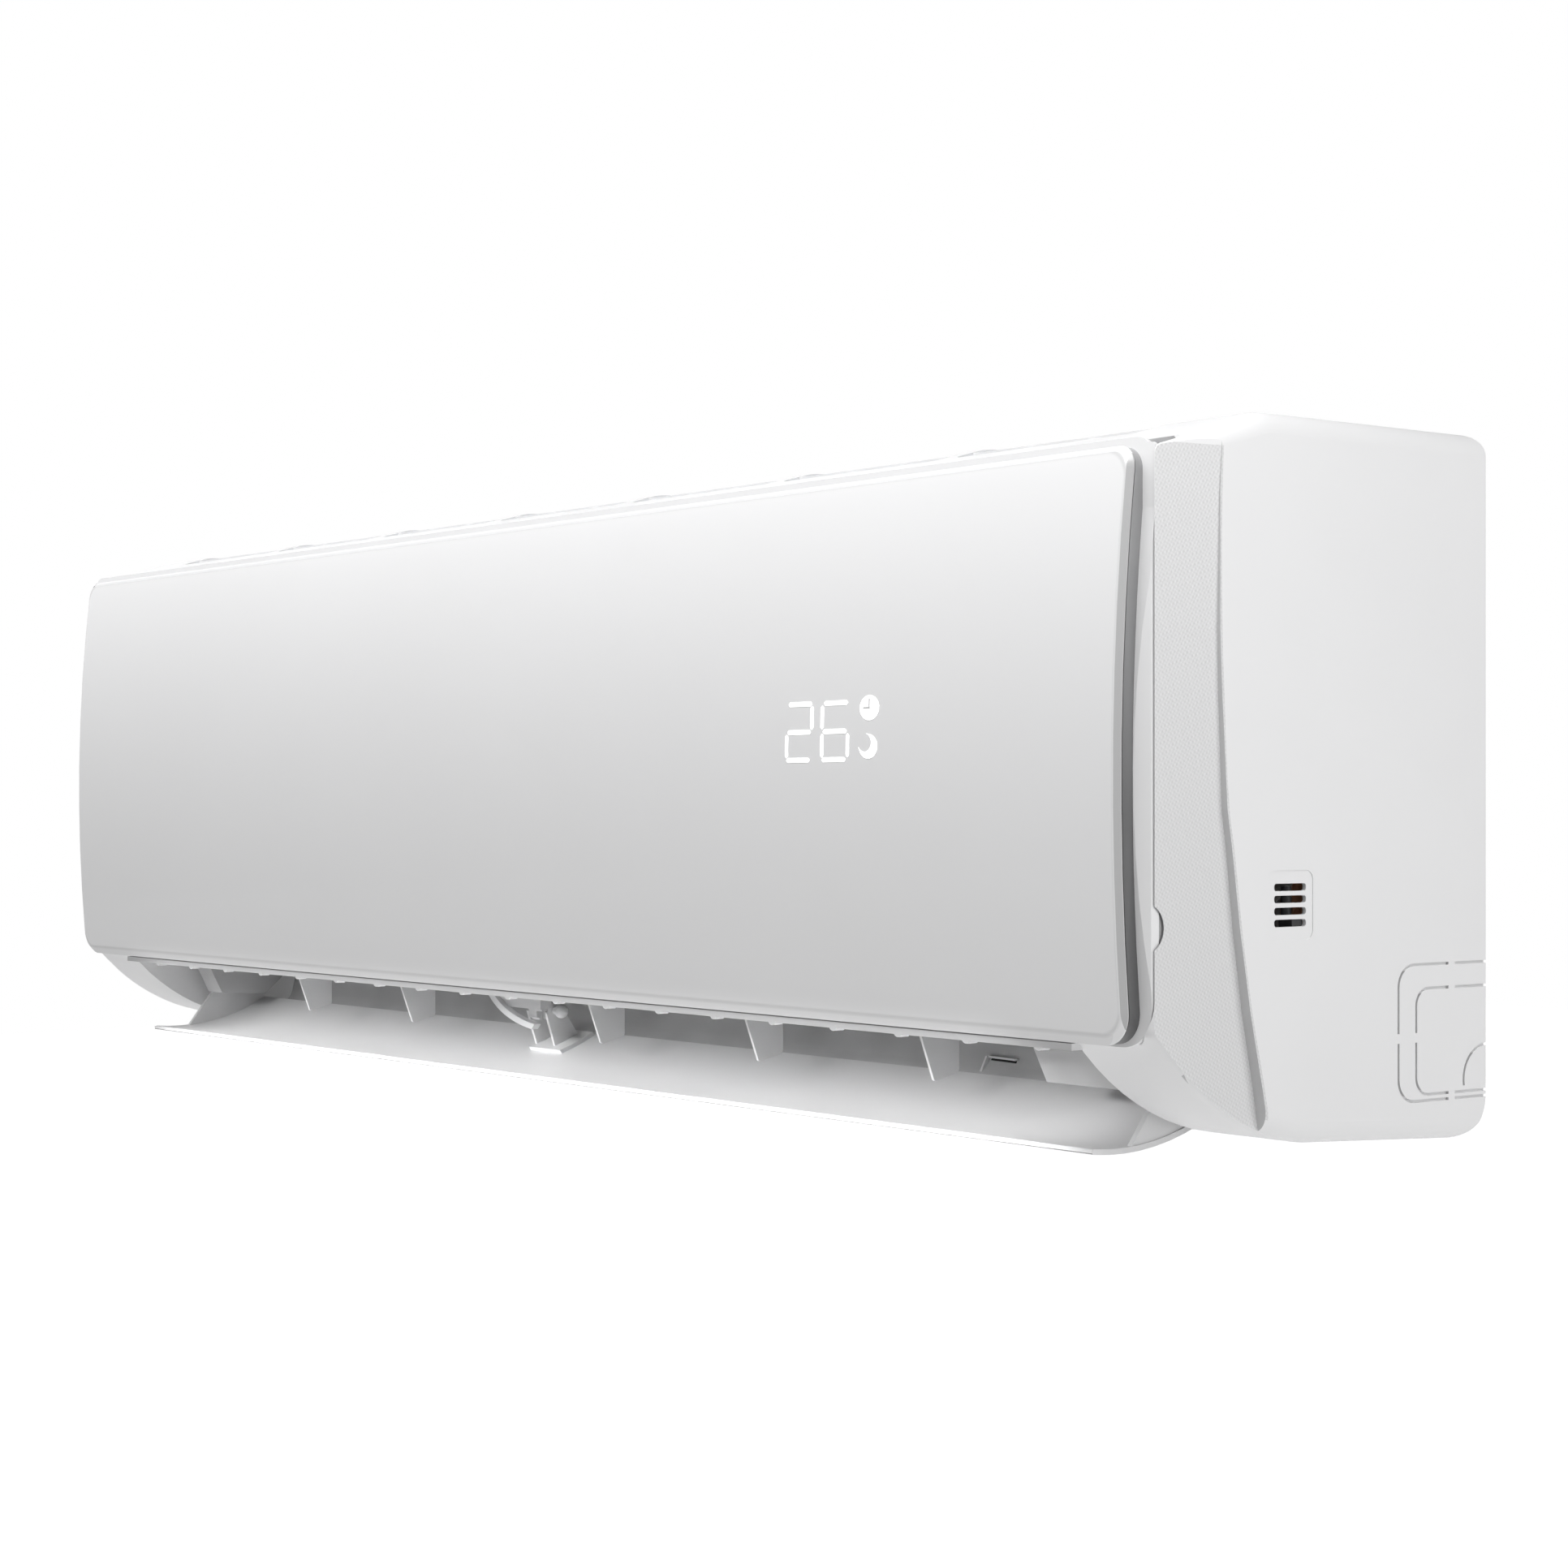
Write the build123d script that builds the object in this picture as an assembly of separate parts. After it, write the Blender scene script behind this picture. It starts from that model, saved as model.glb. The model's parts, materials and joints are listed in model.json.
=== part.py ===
"""Wall-hung indoor unit of a split air conditioner, built as its separate pieces.

Places are written as (x, depth, height): x runs along the unit with + to the right as seen from the
room, depth is the distance out from the wall, and height is measured from the unit's underside.
The finished pieces are moved so that the origin is the centre of the wall plate's wall face,
with +X to the right, +Y into the wall and +Z up.
"""

from build123d import *
import math
import os

# ---- overall size -------------------------------------------------------------------------------
LENGTH = 970.0
HEIGHT = 300.0
DEPTH = 205.0

# ---- casing -------------------------------------------------------------------------------------
WALL = 2.2
REAR_TOP_RADIUS = 9.0
REAR_BOTTOM_RADIUS = 18.0
END_RADIUS = 9.0
TOP_SLOPE_SETBACK = 71.0
TOP_SLOPE_FALL = 0.287
STRIP_SETBACK = 12.5
SEAT_SETBACK = 17.0
OUTLET_HALF = LENGTH / 2 - 54.0
LIP_HEIGHT = 44.5
LIP_DEPTH = 11.0
LIP_THICK = 2.6
STEP_HEIGHT = 6.0
GROOVE_GAP = 0.7

# ---- front panel --------------------------------------------------------------------------------
PANEL_LOW = 47.8
PANEL_TOP_GAP = 13.5
RIM_WIDTH = 6.6
RIM_FALL = 3.2
RIM_TOP_WIDTH = 3.4
RIM_LOW_WIDTH = 0.8
SKIN_THICK = 3.0
SKIN_BOW = 11.27
SKIN_BEVEL = 2.4
SKIN_LOW_BEVEL = 4.8
PANEL_TOP_RADIUS = 11.0
PANEL_LOW_RADIUS = 18.0
PANEL_PIN_R = 2.0
PANEL_PIN_SETBACK = 20.0
PANEL_PIN_DROP = 19.0
TROUGH_RADIUS = 7.0
EAR_WALL = 1.1

# ---- louver and vanes ---------------------------------------------------------------------------
HINGE_SETBACK = 86.0
HINGE_HEIGHT = 31.0
LOUVER_HALF = OUTLET_HALF - 4.0
LOUVER_THICK = 2.4
LOUVER_TURN = 38.0
ARM_THICK = 2.6
LOUVER_PIN_R = 2.5
VANE_THICK = 1.6
VANE_AXIS_SETBACK = 71.0
VANE_PIN_R = 1.5
LINK_SETBACK = 58.0
LINK_HEIGHT = 58.0
LINK_PIN_R = 1.2
BRACKET_X = -56.0
BRACKET_PIN_R = 2.0

# ---- fan and motor ------------------------------------------------------------------------------
FAN_RADIUS = min(0.16 * HEIGHT, 0.2342 * DEPTH)
FAN_INNER_RADIUS = 0.77 * FAN_RADIUS
FAN_BLADES = 35
FAN_D = 0.4488 * DEPTH
FAN_HEIGHT = 0.46 * HEIGHT
DUCT_LEFT = -LENGTH / 2 + 85.0
DUCT_RIGHT = LENGTH / 2 - 125.0
DUCT_WALL = 2.4
FAN_SEGMENTS = 8
SHAFT_RADIUS = 4.0
MOTOR_RADIUS = 41.0
MOTOR_LENGTH = 62.0
RUNNING_GAP = 0.05

# ---- evaporator ---------------------------------------------------------------------------------
PACK_THICK = 24.0
TUBE_RADIUS = 3.5
PLATE_THICK = 1.2

# ---- wall plate ---------------------------------------------------------------------------------
PLATE_LENGTH = LENGTH - 180.0
PLATE_LOW = 70.0
PLATE_HIGH = HEIGHT - 30.0
SHEET_STEEL = 1.4
PLATE_DISH = 3.2
PLATE_HOLE_R = 3.0
PLATE_HOLE_SPAN_X = PLATE_LENGTH - 150.0
PLATE_HOLE_SPAN_Z = 0.75 * (PLATE_HIGH - PLATE_LOW)
PLATE_SLOT_LENGTH = 22.0

# ---- worked out from the sizes above ------------------------------------------------------------
END_X = LENGTH / 2
CREST = DEPTH - TOP_SLOPE_SETBACK
STRIP_FRONT = DEPTH - STRIP_SETBACK
SEAT = DEPTH - SEAT_SETBACK
HINGE_D = DEPTH - HINGE_SETBACK
VANE_D = DEPTH - VANE_AXIS_SETBACK
LINK_D = DEPTH - LINK_SETBACK
ORIGIN_HEIGHT = (PLATE_LOW + PLATE_HIGH) / 2
GROOVE_X = END_X - 4.7
PANEL_X = GROOVE_X - GROOVE_GAP
PANEL_HIGH = HEIGHT - PANEL_TOP_GAP
PIN_D = DEPTH - PANEL_PIN_SETBACK
PIN_Z = HEIGHT - PANEL_PIN_DROP
BOW_HEIGHT = 0.509 * HEIGHT
SKIN_BOW_RADIUS = (BOW_HEIGHT ** 2 + SKIN_BOW ** 2) / (2 * SKIN_BOW)
FAN_SCALE = FAN_RADIUS / 48.0
FIT = 0.1

# ---- places that several pieces share -----------------------------------------------------------
RAIL_LOW = 74.0
RAIL_THICK = 3.0
CEILING = ((DEPTH - 74.0, 103.0), (DEPTH - 68.0, 82.0), (DEPTH - 28.0, 50.6))
BACK_LOW = 5.0
BACK_THICK = 2.4
SHELF_HEIGHT = 62.0
GUTTER_HEIGHT = FAN_HEIGHT + 46.0 * FAN_SCALE
HOOK_PLACES = (-END_X + 185.0, 0.0, END_X - 185.0)
HOOK_HEIGHT = HEIGHT - 38.0
PANEL_ARMS = (-END_X + 185.0, 0.0, END_X - 185.0)
BLOCK_END = OUTLET_HALF - 10.0
TRAY_FRONT = SEAT - WALL - 7.3


# ---- shape helpers ------------------------------------------------------------------------------
def rounded(points, radii):
    """Closed outline through the points, with an arc of the given radius at each corner."""
    count = len(points)
    sizes = radii if isinstance(radii, (list, tuple)) else [radii] * count
    corners = []
    for i, place in enumerate(points):
        corner = Vector(*place)
        if sizes[i] == 0:
            corners.append([corner])
            continue
        to_last = (Vector(*points[i - 1]) - corner).normalized()
        to_next = (Vector(*points[(i + 1) % count]) - corner).normalized()
        half = math.radians(to_last.get_angle(to_next)) / 2
        reach = sizes[i] / math.tan(half)
        middle = corner + (to_last + to_next).normalized() * (sizes[i] / math.sin(half) - sizes[i])
        corners.append([corner + to_last * reach, middle, corner + to_next * reach])
    edges = []
    for i, here in enumerate(corners):
        if len(here) == 3:
            edges.append(ThreePointArc(*here))
        after = corners[(i + 1) % count][0]
        if (after - here[-1]).length > 1e-4:
            edges.append(Line(here[-1], after))
    return make_face(edges)


def beside(points, step, radii):
    """The line moved a step to its left, with the radii its inner corners then have."""
    count = len(points)
    moved = []
    moved_radii = []
    for i, place in enumerate(points):
        here = Vector(*place)
        before = (here - Vector(*points[i - 1])).normalized() if i else None
        after = (Vector(*points[i + 1]) - here).normalized() if i < count - 1 else None
        first = before or after
        last = after or before
        left_first = Vector(-first.Y, first.X)
        left_last = Vector(-last.Y, last.X)
        mitre = (left_first + left_last).normalized()
        there = here + mitre * (step / mitre.dot(left_first))
        moved.append((there.X, there.Y))
        turn = first.X * last.Y - first.Y * last.X
        bent = radii[i] and 0 < i < count - 1
        moved_radii.append(max(radii[i] - math.copysign(step, turn), 0.2) if bent else 0)
    return moved, moved_radii


def band(points, thickness, radii):
    """Outline of a bent sheet whose one side runs through the points and whose other side
    lies a thickness to the left of it. Inner points turn with the given radii on that side."""
    far, far_radii = beside(points, thickness, radii)
    near_radii = [0] + list(radii[1:-1]) + [0]
    return rounded(list(points) + far[::-1], near_radii + far_radii[::-1])


def along_x(shape, low, high):
    """Solid of a (depth, height) outline between two x places."""
    plane = Plane(origin=(high, 0, 0), x_dir=(0, -1, 0), z_dir=(-1, 0, 0))
    return extrude(plane * shape, amount=high - low, dir=(-1, 0, 0))


def outward(shape, low, high):
    """Solid of an (x, height) outline between two depths."""
    plane = Plane(origin=(0, -low, 0), x_dir=(1, 0, 0), z_dir=(0, -1, 0))
    return extrude(plane * shape, amount=high - low, dir=(0, -1, 0))


def upward(shape, low, high):
    """Solid of an (x, depth) outline between two heights, with depth counted outward."""
    plane = Plane(origin=(0, 0, high), x_dir=(1, 0, 0), z_dir=(0, 0, -1))
    return extrude(plane * shape, amount=high - low, dir=(0, 0, -1))


def box(x, depth, height):
    """Box from three (low, high) pairs."""
    size = [pair[1] - pair[0] for pair in (x, depth, height)]
    middle = [(pair[1] + pair[0]) / 2 for pair in (x, depth, height)]
    return Pos(middle[0], -middle[1], middle[2]) * Box(*size)


def rod_x(low, high, depth, height, radius):
    """Round bar along x."""
    return along_x(Pos(depth, height) * Circle(radius), low, high)


def rod_out(x, height, low, high, radius):
    """Round bar standing out from the wall."""
    return outward(Pos(x, height) * Circle(radius), low, high)


def rod_up(x, depth, low, high, radius):
    """Upright round bar."""
    return upward(Pos(x, depth) * Circle(radius), low, high)


def turned(shape, degrees, depth, height):
    """Shape turned about an x line, with + bringing what faces the room downward."""
    return Pos(0, -depth, height) * Rot(degrees, 0, 0) * Pos(0, depth, -height) * shape


def slab(points):
    """Straight-sided outline."""
    return Polygon(*points, align=None)


# ---- outlines that several pieces share ---------------------------------------------------------
JAW_CORNER = (DEPTH - 52.9, 12.6)
JAW_REAR = (DEPTH - 99.0, 5.9)
STRIP_LOW = 53.7
JAW_TOP = 60.0


UNDERSIDE = 1.0
BEHIND_WALL = 12.0
BEHIND_RADIUS = 15.0


def end_outline(behind=0.0):
    """Side view of the whole casing. With a reach behind the wall, its rear corners lie back there."""
    low = UNDERSIDE - behind * (JAW_REAR[1] - UNDERSIDE) / JAW_REAR[0]
    rear = [BEHIND_RADIUS, BEHIND_RADIUS] if behind else [REAR_BOTTOM_RADIUS, REAR_TOP_RADIUS]
    points = [
        (-behind, low),
        (-behind, HEIGHT),
        (CREST, HEIGHT),
        (STRIP_FRONT, HEIGHT - TOP_SLOPE_FALL * (STRIP_FRONT - CREST)),
        (STRIP_FRONT, STRIP_LOW),
        JAW_CORNER,
        JAW_REAR,
    ]
    return rounded(points, rear + [40, 4, 5, 126, 60])


def slope_height(depth):
    """Height of the casing's top at a depth."""
    return HEIGHT - TOP_SLOPE_FALL * max(0.0, depth - CREST)


def panel_outline(grow, top_cut, low_cut):
    """Front view of the panel, inset from its outer edge."""
    half = PANEL_X - grow
    top = PANEL_HIGH - top_cut
    low = PANEL_LOW + low_cut
    points = [(-half, low), (half, low), (half, top), (-half, top)]
    inset = min(grow, 4.0)
    low_r = PANEL_LOW_RADIUS - inset
    top_r = PANEL_TOP_RADIUS - inset / 2
    return rounded(points, [low_r, low_r, top_r, top_r])


# ---- casing -------------------------------------------------------------------------------------
STEP_CURVE = ((1.0, 47.0), (0.887, 45.0), (0.707, 45.0), (0.627, 46.0), (0.47, 49.0),
              (0.41, 52.0), (0.313, 56.0), (0.2, 62.0), (0.097, 69.0), (-0.007, 75.0))
BAY_PITCH = (LENGTH - 98.5) / 7
BAY_HALF = BAY_PITCH / 2 - 5.25
BAY_NEAR = 24.0
BAY_FAR_SETBACK = 52.0
BAY_BAR_PITCH = 14.5
BAY_BAR = 2.6
VENT_SLOTS = 4
VENT_PITCH = 4.8
WINDOW_LOW = 78.0
WINDOW_HIGH = HEIGHT - 28.0
FILTER_SPLIT = 6.0
WINDOW_LEFT = -END_X + 61.0
WINDOW_RIGHT = DUCT_RIGHT - 20.0
CASING_SCREWS = (-END_X + 125.0, -110.0, 110.0, END_X - 135.0)
SCREW_HEIGHT = 68.9
SCREW_RADIUS = 2.0
LATCH_PLACES = (-END_X + 90.0, END_X - 90.0)
BOX_X = (END_X - 113.0, END_X - 15.0)
BUTTON_X = END_X - 75.0
BUTTON_HEIGHT = 112.0
MOUTH_REAR = UNDERSIDE + REAR_BOTTOM_RADIUS + 1.0
THUMB_HEIGHT = 95.0
THUMB_RADIUS = 9.75
THUMB_DEEP = 6.0
VENT_D = DEPTH - 85.0
VENT_HEIGHT = 102.7


def strip_cut(side):
    """Space in front of the step, where the textured strip lies back from the smooth end."""
    sections = []
    for share, setback in STEP_CURVE:
        edge = side * (END_X - STEP_HEIGHT * (1 - share))
        front = side * GROOVE_X
        far = side * (END_X + 20)
        place = DEPTH - setback
        points = [(edge, place), (front, STRIP_FRONT + 0.2), (far, STRIP_FRONT + 20), (far, place)]
        plane = Plane(origin=(0, 0, share * HEIGHT), x_dir=(1, 0, 0), z_dir=(0, 0, 1))
        flat = [(x, -d) for x, d in points]
        sections.append(plane * Polygon(*flat, align=None))
    return loft(sections, ruled=True)


def grille_bars():
    """Bars and ribs across the seven intake bays."""
    bars = []
    far = DEPTH - BAY_FAR_SETBACK
    steps = int((far - BAY_NEAR) / BAY_BAR_PITCH)
    reach = 3 * BAY_PITCH + BAY_HALF
    for i in range(1, steps + 1):
        depth = BAY_NEAR + i * BAY_BAR_PITCH
        top = slope_height(depth) - 0.8
        bars.append(box((-reach, reach), (depth - BAY_BAR / 2, depth + BAY_BAR / 2), (top - 6, top)))
    for bay in range(-3, 4):
        for offset in (-BAY_HALF / 3, BAY_HALF / 3):
            x = bay * BAY_PITCH + offset
            outline = slab([(BAY_NEAR - 1, HEIGHT - 2.0), (CREST, HEIGHT - 2.0),
                            (far + 1, slope_height(far) - 2.0), (far + 1, slope_height(far) - 6.0),
                            (CREST, HEIGHT - 6.0), (BAY_NEAR - 1, HEIGHT - 6.0)])
            bars.append(along_x(outline, x - 1, x + 1))
    return bars


def knock_out(side):
    """Thin lines in one end wall round the break-out covers of the pipes and the drain."""
    depth_in = 1.3
    low = END_X - depth_in if side > 0 else -END_X - 1
    high = END_X + 1 if side > 0 else -END_X + depth_in
    lines = []
    for reach, bottom, top, radius in ((56.0, 19.0, 77.0, 10.0), (45.0, 21.5, 67.0, 8.0)):
        outer = rounded([(-9, bottom), (reach, bottom), (reach, top), (-9, top)], [0, radius, radius, 0])
        inner = rounded([(-9, bottom + 1.2), (reach - 1.2, bottom + 1.2), (reach - 1.2, top - 1.2),
                         (-9, top - 1.2)], [0, radius - 1.2, radius - 1.2, 0])
        lines.append(along_x(outer - inner, low, high))
    drain = Pos(0, 27) * Circle(15) - Pos(0, 27) * Circle(13.8)
    lines.append(along_x(drain, low, high) & box((low, high), (-1, 40), (24.5, 60)))
    tabs = [box((low - 1, high + 1), (20, 24), (-1, 90)), box((low - 1, high + 1), (-1, 60), (44, 48))]
    return [line - tabs for line in lines]


def round_ended(outline, half, radius):
    """Solid of a (depth, height) outline whose two end edges are rounded."""
    shape = along_x(outline, -half, half)
    return fillet([edge for edge in shape.edges() if abs(abs(edge.center().X) - half) < 0.01], radius)


def casing_hollow():
    """Space inside the casing behind its front seat, open to the wall."""
    within = offset(end_outline(BEHIND_WALL), amount=-WALL, kind=Kind.INTERSECTION)
    rear = offset(end_outline(), amount=-WALL, kind=Kind.INTERSECTION)
    rear += slab([(-9, UNDERSIDE + REAR_BOTTOM_RADIUS), (30, UNDERSIDE + REAR_BOTTOM_RADIUS),
                  (30, HEIGHT - REAR_TOP_RADIUS), (-9, HEIGHT - REAR_TOP_RADIUS)])
    wide = round_ended(within, END_X - WALL, END_RADIUS - WALL)
    wide &= along_x(rear, -END_X, END_X) & box((-END_X, END_X), (-9, 128), (-9, HEIGHT))
    inner_x = END_X - STEP_HEIGHT - WALL
    return wide, along_x(rear, -inner_x, inner_x) & box((-END_X, END_X), (126, SEAT - WALL), (-9, HEIGHT))


def front_casing():
    """Casing: top, ends, front seat with the filter windows, jaws and lip in one moulding."""
    shape = round_ended(end_outline(BEHIND_WALL), END_X, END_RADIUS)
    shape &= along_x(end_outline(), -END_X, END_X)
    for side in (-1, 1):
        shape -= strip_cut(side)
    for space in casing_hollow():
        shape -= space
    seat = rounded([(-GROOVE_X, PANEL_LOW - 0.5), (GROOVE_X, PANEL_LOW - 0.5),
                    (GROOVE_X, PANEL_HIGH + 0.6), (-GROOVE_X, PANEL_HIGH + 0.6)],
                   [PANEL_LOW_RADIUS + 0.7, PANEL_LOW_RADIUS + 0.7,
                    PANEL_TOP_RADIUS + 0.7, PANEL_TOP_RADIUS + 0.7])
    shape -= outward(seat, SEAT, DEPTH + 10)
    # air outlet mouth between the jaws, and the open underside behind it
    mouth = slab([(-9, -9), (SEAT - WALL, -9), (SEAT - WALL, LIP_HEIGHT + 8), (DEPTH - 40, 75),
                  (60, 75), (60, MOUTH_REAR), (-9, MOUTH_REAR)])
    shape -= along_x(mouth, -OUTLET_HALF, OUTLET_HALF)
    shape -= box((-OUTLET_HALF, OUTLET_HALF), (SEAT - WALL - 0.1, DEPTH), (-9, LIP_HEIGHT))
    lip = slab([(SEAT - WALL, 60), (SEAT, 60), (SEAT, PANEL_LOW - 0.5), (SEAT + 2, PANEL_LOW - 0.5),
                (SEAT + 2, LIP_HEIGHT), (SEAT - LIP_DEPTH + 4, LIP_HEIGHT),
                (SEAT - LIP_DEPTH, LIP_HEIGHT + 2.5), (SEAT - LIP_DEPTH, LIP_HEIGHT + 5),
                (SEAT - WALL, LIP_HEIGHT + LIP_THICK + 1)])
    shape += along_x(lip, -OUTLET_HALF - 1, OUTLET_HALF + 1)
    # inner side walls of the jaws, with the louver's pivot holes
    jaw = end_outline() & slab([(DEPTH - 122, -9), (SEAT, -9), (SEAT, JAW_TOP), (DEPTH - 122, JAW_TOP)])
    for side in (-1, 1):
        low = OUTLET_HALF if side > 0 else -OUTLET_HALF - WALL
        wall = along_x(jaw, low, low + WALL)
        wall -= rod_x(low - 1, low + WALL + 1, HINGE_D, HINGE_HEIGHT, 6.0)
        shape += wall
    # filter windows in the front seat
    for low, high in ((WINDOW_LEFT, -FILTER_SPLIT), (FILTER_SPLIT, WINDOW_RIGHT)):
        window = rounded([(low, WINDOW_LOW), (high, WINDOW_LOW), (high, WINDOW_HIGH), (low, WINDOW_HIGH)], 6)
        shape -= outward(window, SEAT - WALL - 5, SEAT + 1)
    # window over the electronics box, for the button and the cover screw
    low, high = BOX_X[0], BOX_X[0] + 84.0
    box_window = rounded([(low, BUTTON_HEIGHT - 20), (high, BUTTON_HEIGHT - 20), (high, BUTTON_HEIGHT + 18),
                          (low, BUTTON_HEIGHT + 18)], 5)
    shape -= outward(box_window, SEAT - WALL - 5, SEAT + 1)
    # intake bays
    far = DEPTH - BAY_FAR_SETBACK
    for bay in range(-3, 4):
        x = bay * BAY_PITCH
        opening = rounded([(x - BAY_HALF, BAY_NEAR), (x + BAY_HALF, BAY_NEAR), (x + BAY_HALF, far),
                           (x - BAY_HALF, far)], 5)
        shape -= upward(opening, HEIGHT - 20, HEIGHT + 1)
    shape += grille_bars()
    # trough behind the panel's top edge, round the line of its pins, with ears that carry the pins
    at_pin = Pos(PIN_D, PIN_Z)
    shell = (at_pin * Circle(TROUGH_RADIUS + WALL)) & end_outline()
    shape += along_x(shell, -GROOVE_X, GROOVE_X)
    shape -= rod_x(-GROOVE_X, GROOVE_X, PIN_D, PIN_Z, TROUGH_RADIUS)
    shape -= box((-GROOVE_X, GROOVE_X), (SEAT, DEPTH), (PIN_Z - TROUGH_RADIUS - 2 * WALL, HEIGHT))
    reach = TROUGH_RADIUS + WALL / 2
    root = slab([(0, 0), (-3, 1), (-reach, 0), (-reach * 0.7, -reach * 0.7), (0, -reach)])
    ear = at_pin * (Circle(PANEL_PIN_R + EAR_WALL) + root)
    for x in PANEL_ARMS:
        shape += along_x(ear, x - 10, x - 7)
        shape += along_x(ear, x + 7, x + 10)
        shape -= rod_x(x - 11, x + 11, PIN_D, PIN_Z, PANEL_PIN_R + RUNNING_GAP)
    # vent slots on the right end, in a shallow rounded plate
    plate = rounded([(VENT_D - 13, VENT_HEIGHT - 14), (VENT_D + 13, VENT_HEIGHT - 14),
                     (VENT_D + 13, VENT_HEIGHT + 14), (VENT_D - 13, VENT_HEIGHT + 14)], 4)
    shape -= along_x(plate, END_X - 0.35, END_X + 1)
    for i in range(VENT_SLOTS):
        z = VENT_HEIGHT + (i - (VENT_SLOTS - 1) / 2) * VENT_PITCH
        slot = rounded([(VENT_D - 9.2, z - 1.5), (VENT_D + 9.2, z - 1.5), (VENT_D + 9.2, z + 1.5),
                        (VENT_D - 9.2, z + 1.5)], 1.2)
        shape -= along_x(slot, END_X - WALL - 8, END_X + 1)
    for x in LATCH_PLACES:
        shape -= box((x - 5, x + 5), (SEAT - WALL - 1, SEAT + 1), (PANEL_LOW + 8, PANEL_LOW + 15))
    for x in CASING_SCREWS:
        shape -= rod_out(x, SCREW_HEIGHT, SEAT - WALL - 1, SEAT + 1, SCREW_RADIUS + 0.2)
    for side in (-1, 1):
        for line in knock_out(side):
            shape -= line
        # scooped finger recess in the edge of the strip
        low = GROOVE_X - 1 if side > 0 else -END_X - 1
        shape -= rod_x(low, low + END_X - GROOVE_X + 2, STRIP_FRONT - THUMB_DEEP + THUMB_RADIUS,
                       THUMB_HEIGHT, THUMB_RADIUS)
    return shape


# ---- front panel --------------------------------------------------------------------------------
PANEL_BACK = SEAT + 0.3
RIM_BACK = STRIP_FRONT
RIM_FRONT = STRIP_FRONT + RIM_FALL
TRIM_HEIGHT = 6.3
TRIM_GAP = 0.6
PLATE_OF_FRAME = 2.0
TRIM_WIDTH = 2.0
PANEL_RIBS = (-END_X + 25.0, -END_X + 265.0, END_X - 265.0, END_X - 25.0)
DISPLAY_LOW = PANEL_LOW + 91.2
DISPLAY_RISE = 59.0


def bow_space(front):
    """Everything behind the bowed surface whose foremost line lies at the given depth."""
    half = HEIGHT / 2 + 40
    edge = front - SKIN_BOW_RADIUS + math.sqrt(SKIN_BOW_RADIUS ** 2 - half ** 2)
    low = (edge, BOW_HEIGHT - half)
    high = (edge, BOW_HEIGHT + half)
    back = SEAT - 30
    edges = [
        ThreePointArc(low, (front, BOW_HEIGHT), high),
        Line(high, (back, BOW_HEIGHT + half)),
        Line((back, BOW_HEIGHT + half), (back, BOW_HEIGHT - half)),
        Line((back, BOW_HEIGHT - half), low),
    ]
    return along_x(make_face(edges), -END_X - 5, END_X + 5)


def front_panel():
    """Bowed skin with a bevelled edge all round."""
    outer = panel_outline(RIM_WIDTH, RIM_TOP_WIDTH, RIM_LOW_WIDTH)
    shape = outward(outer, SEAT - 20, DEPTH + 5) & bow_space(DEPTH)
    shape = chamfer(shape.faces().sort_by(Axis.Y)[0].edges(), SKIN_BEVEL)
    # the bevel along the lower edge is wider than the others
    low = PANEL_LOW + RIM_LOW_WIDTH
    front = DEPTH - SKIN_BOW * ((BOW_HEIGHT - low) / BOW_HEIGHT) ** 2
    wedge = slab([(front - SKIN_BEVEL, low - 1), (front - SKIN_BEVEL, low), (front + 1, low + SKIN_LOW_BEVEL + 1),
                  (DEPTH + 5, low + SKIN_LOW_BEVEL + 1), (DEPTH + 5, low - 1)])
    shape -= along_x(wedge, -END_X, END_X)
    return shape - bow_space(DEPTH - SKIN_THICK)


def panel_solid():
    """Body of the panel frame before it is hollowed: sloped rim, back plate and its square corners."""
    outer = panel_outline(0, 0, 0)
    inner = panel_outline(RIM_WIDTH, RIM_TOP_WIDTH, RIM_LOW_WIDTH)
    low_plane = Plane(origin=(0, -RIM_BACK, 0), x_dir=(1, 0, 0), z_dir=(0, -1, 0))
    top_plane = Plane(origin=(0, -RIM_FRONT, 0), x_dir=(1, 0, 0), z_dir=(0, -1, 0))
    shape = outward(outer, PANEL_BACK, RIM_BACK)
    shape += loft([low_plane * outer, top_plane * inner], ruled=True)
    shape &= bow_space(DEPTH - SKIN_THICK - TRIM_HEIGHT)
    shape += outward(outer, PANEL_BACK, PANEL_BACK + PLATE_OF_FRAME)
    high = PANEL_HIGH - 2.5
    corners = rounded([(-PANEL_X, high - 30), (PANEL_X, high - 30), (PANEL_X, high), (-PANEL_X, high)],
                      [0, 0, 3, 3])
    return shape + outward(corners, PANEL_BACK, PANEL_BACK + PLATE_OF_FRAME)


def trim_ring(low, high):
    """Upright ring under the skin's edge."""
    outer = panel_outline(RIM_WIDTH + 0.3, RIM_TOP_WIDTH + 0.3, RIM_LOW_WIDTH + 0.3)
    inset = 0.3 + TRIM_WIDTH
    inner = panel_outline(RIM_WIDTH + inset, RIM_TOP_WIDTH + inset, RIM_LOW_WIDTH + inset)
    return outward(outer - inner, low, high)


def panel_trim():
    """Grey band that shows between the skin and the rim, with a thin groove under the skin's edge."""
    shape = (trim_ring(PANEL_BACK, DEPTH) & bow_space(DEPTH - SKIN_THICK - FIT)) - panel_solid()
    outer = panel_outline(0, 0, 0)
    inset = 0.3 + TRIM_WIDTH / 2
    inner = panel_outline(RIM_WIDTH + inset, RIM_TOP_WIDTH + inset, RIM_LOW_WIDTH + inset)
    groove = outward(outer - inner, SEAT, DEPTH) - bow_space(DEPTH - SKIN_THICK - FIT - TRIM_GAP)
    return shape - groove


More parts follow.
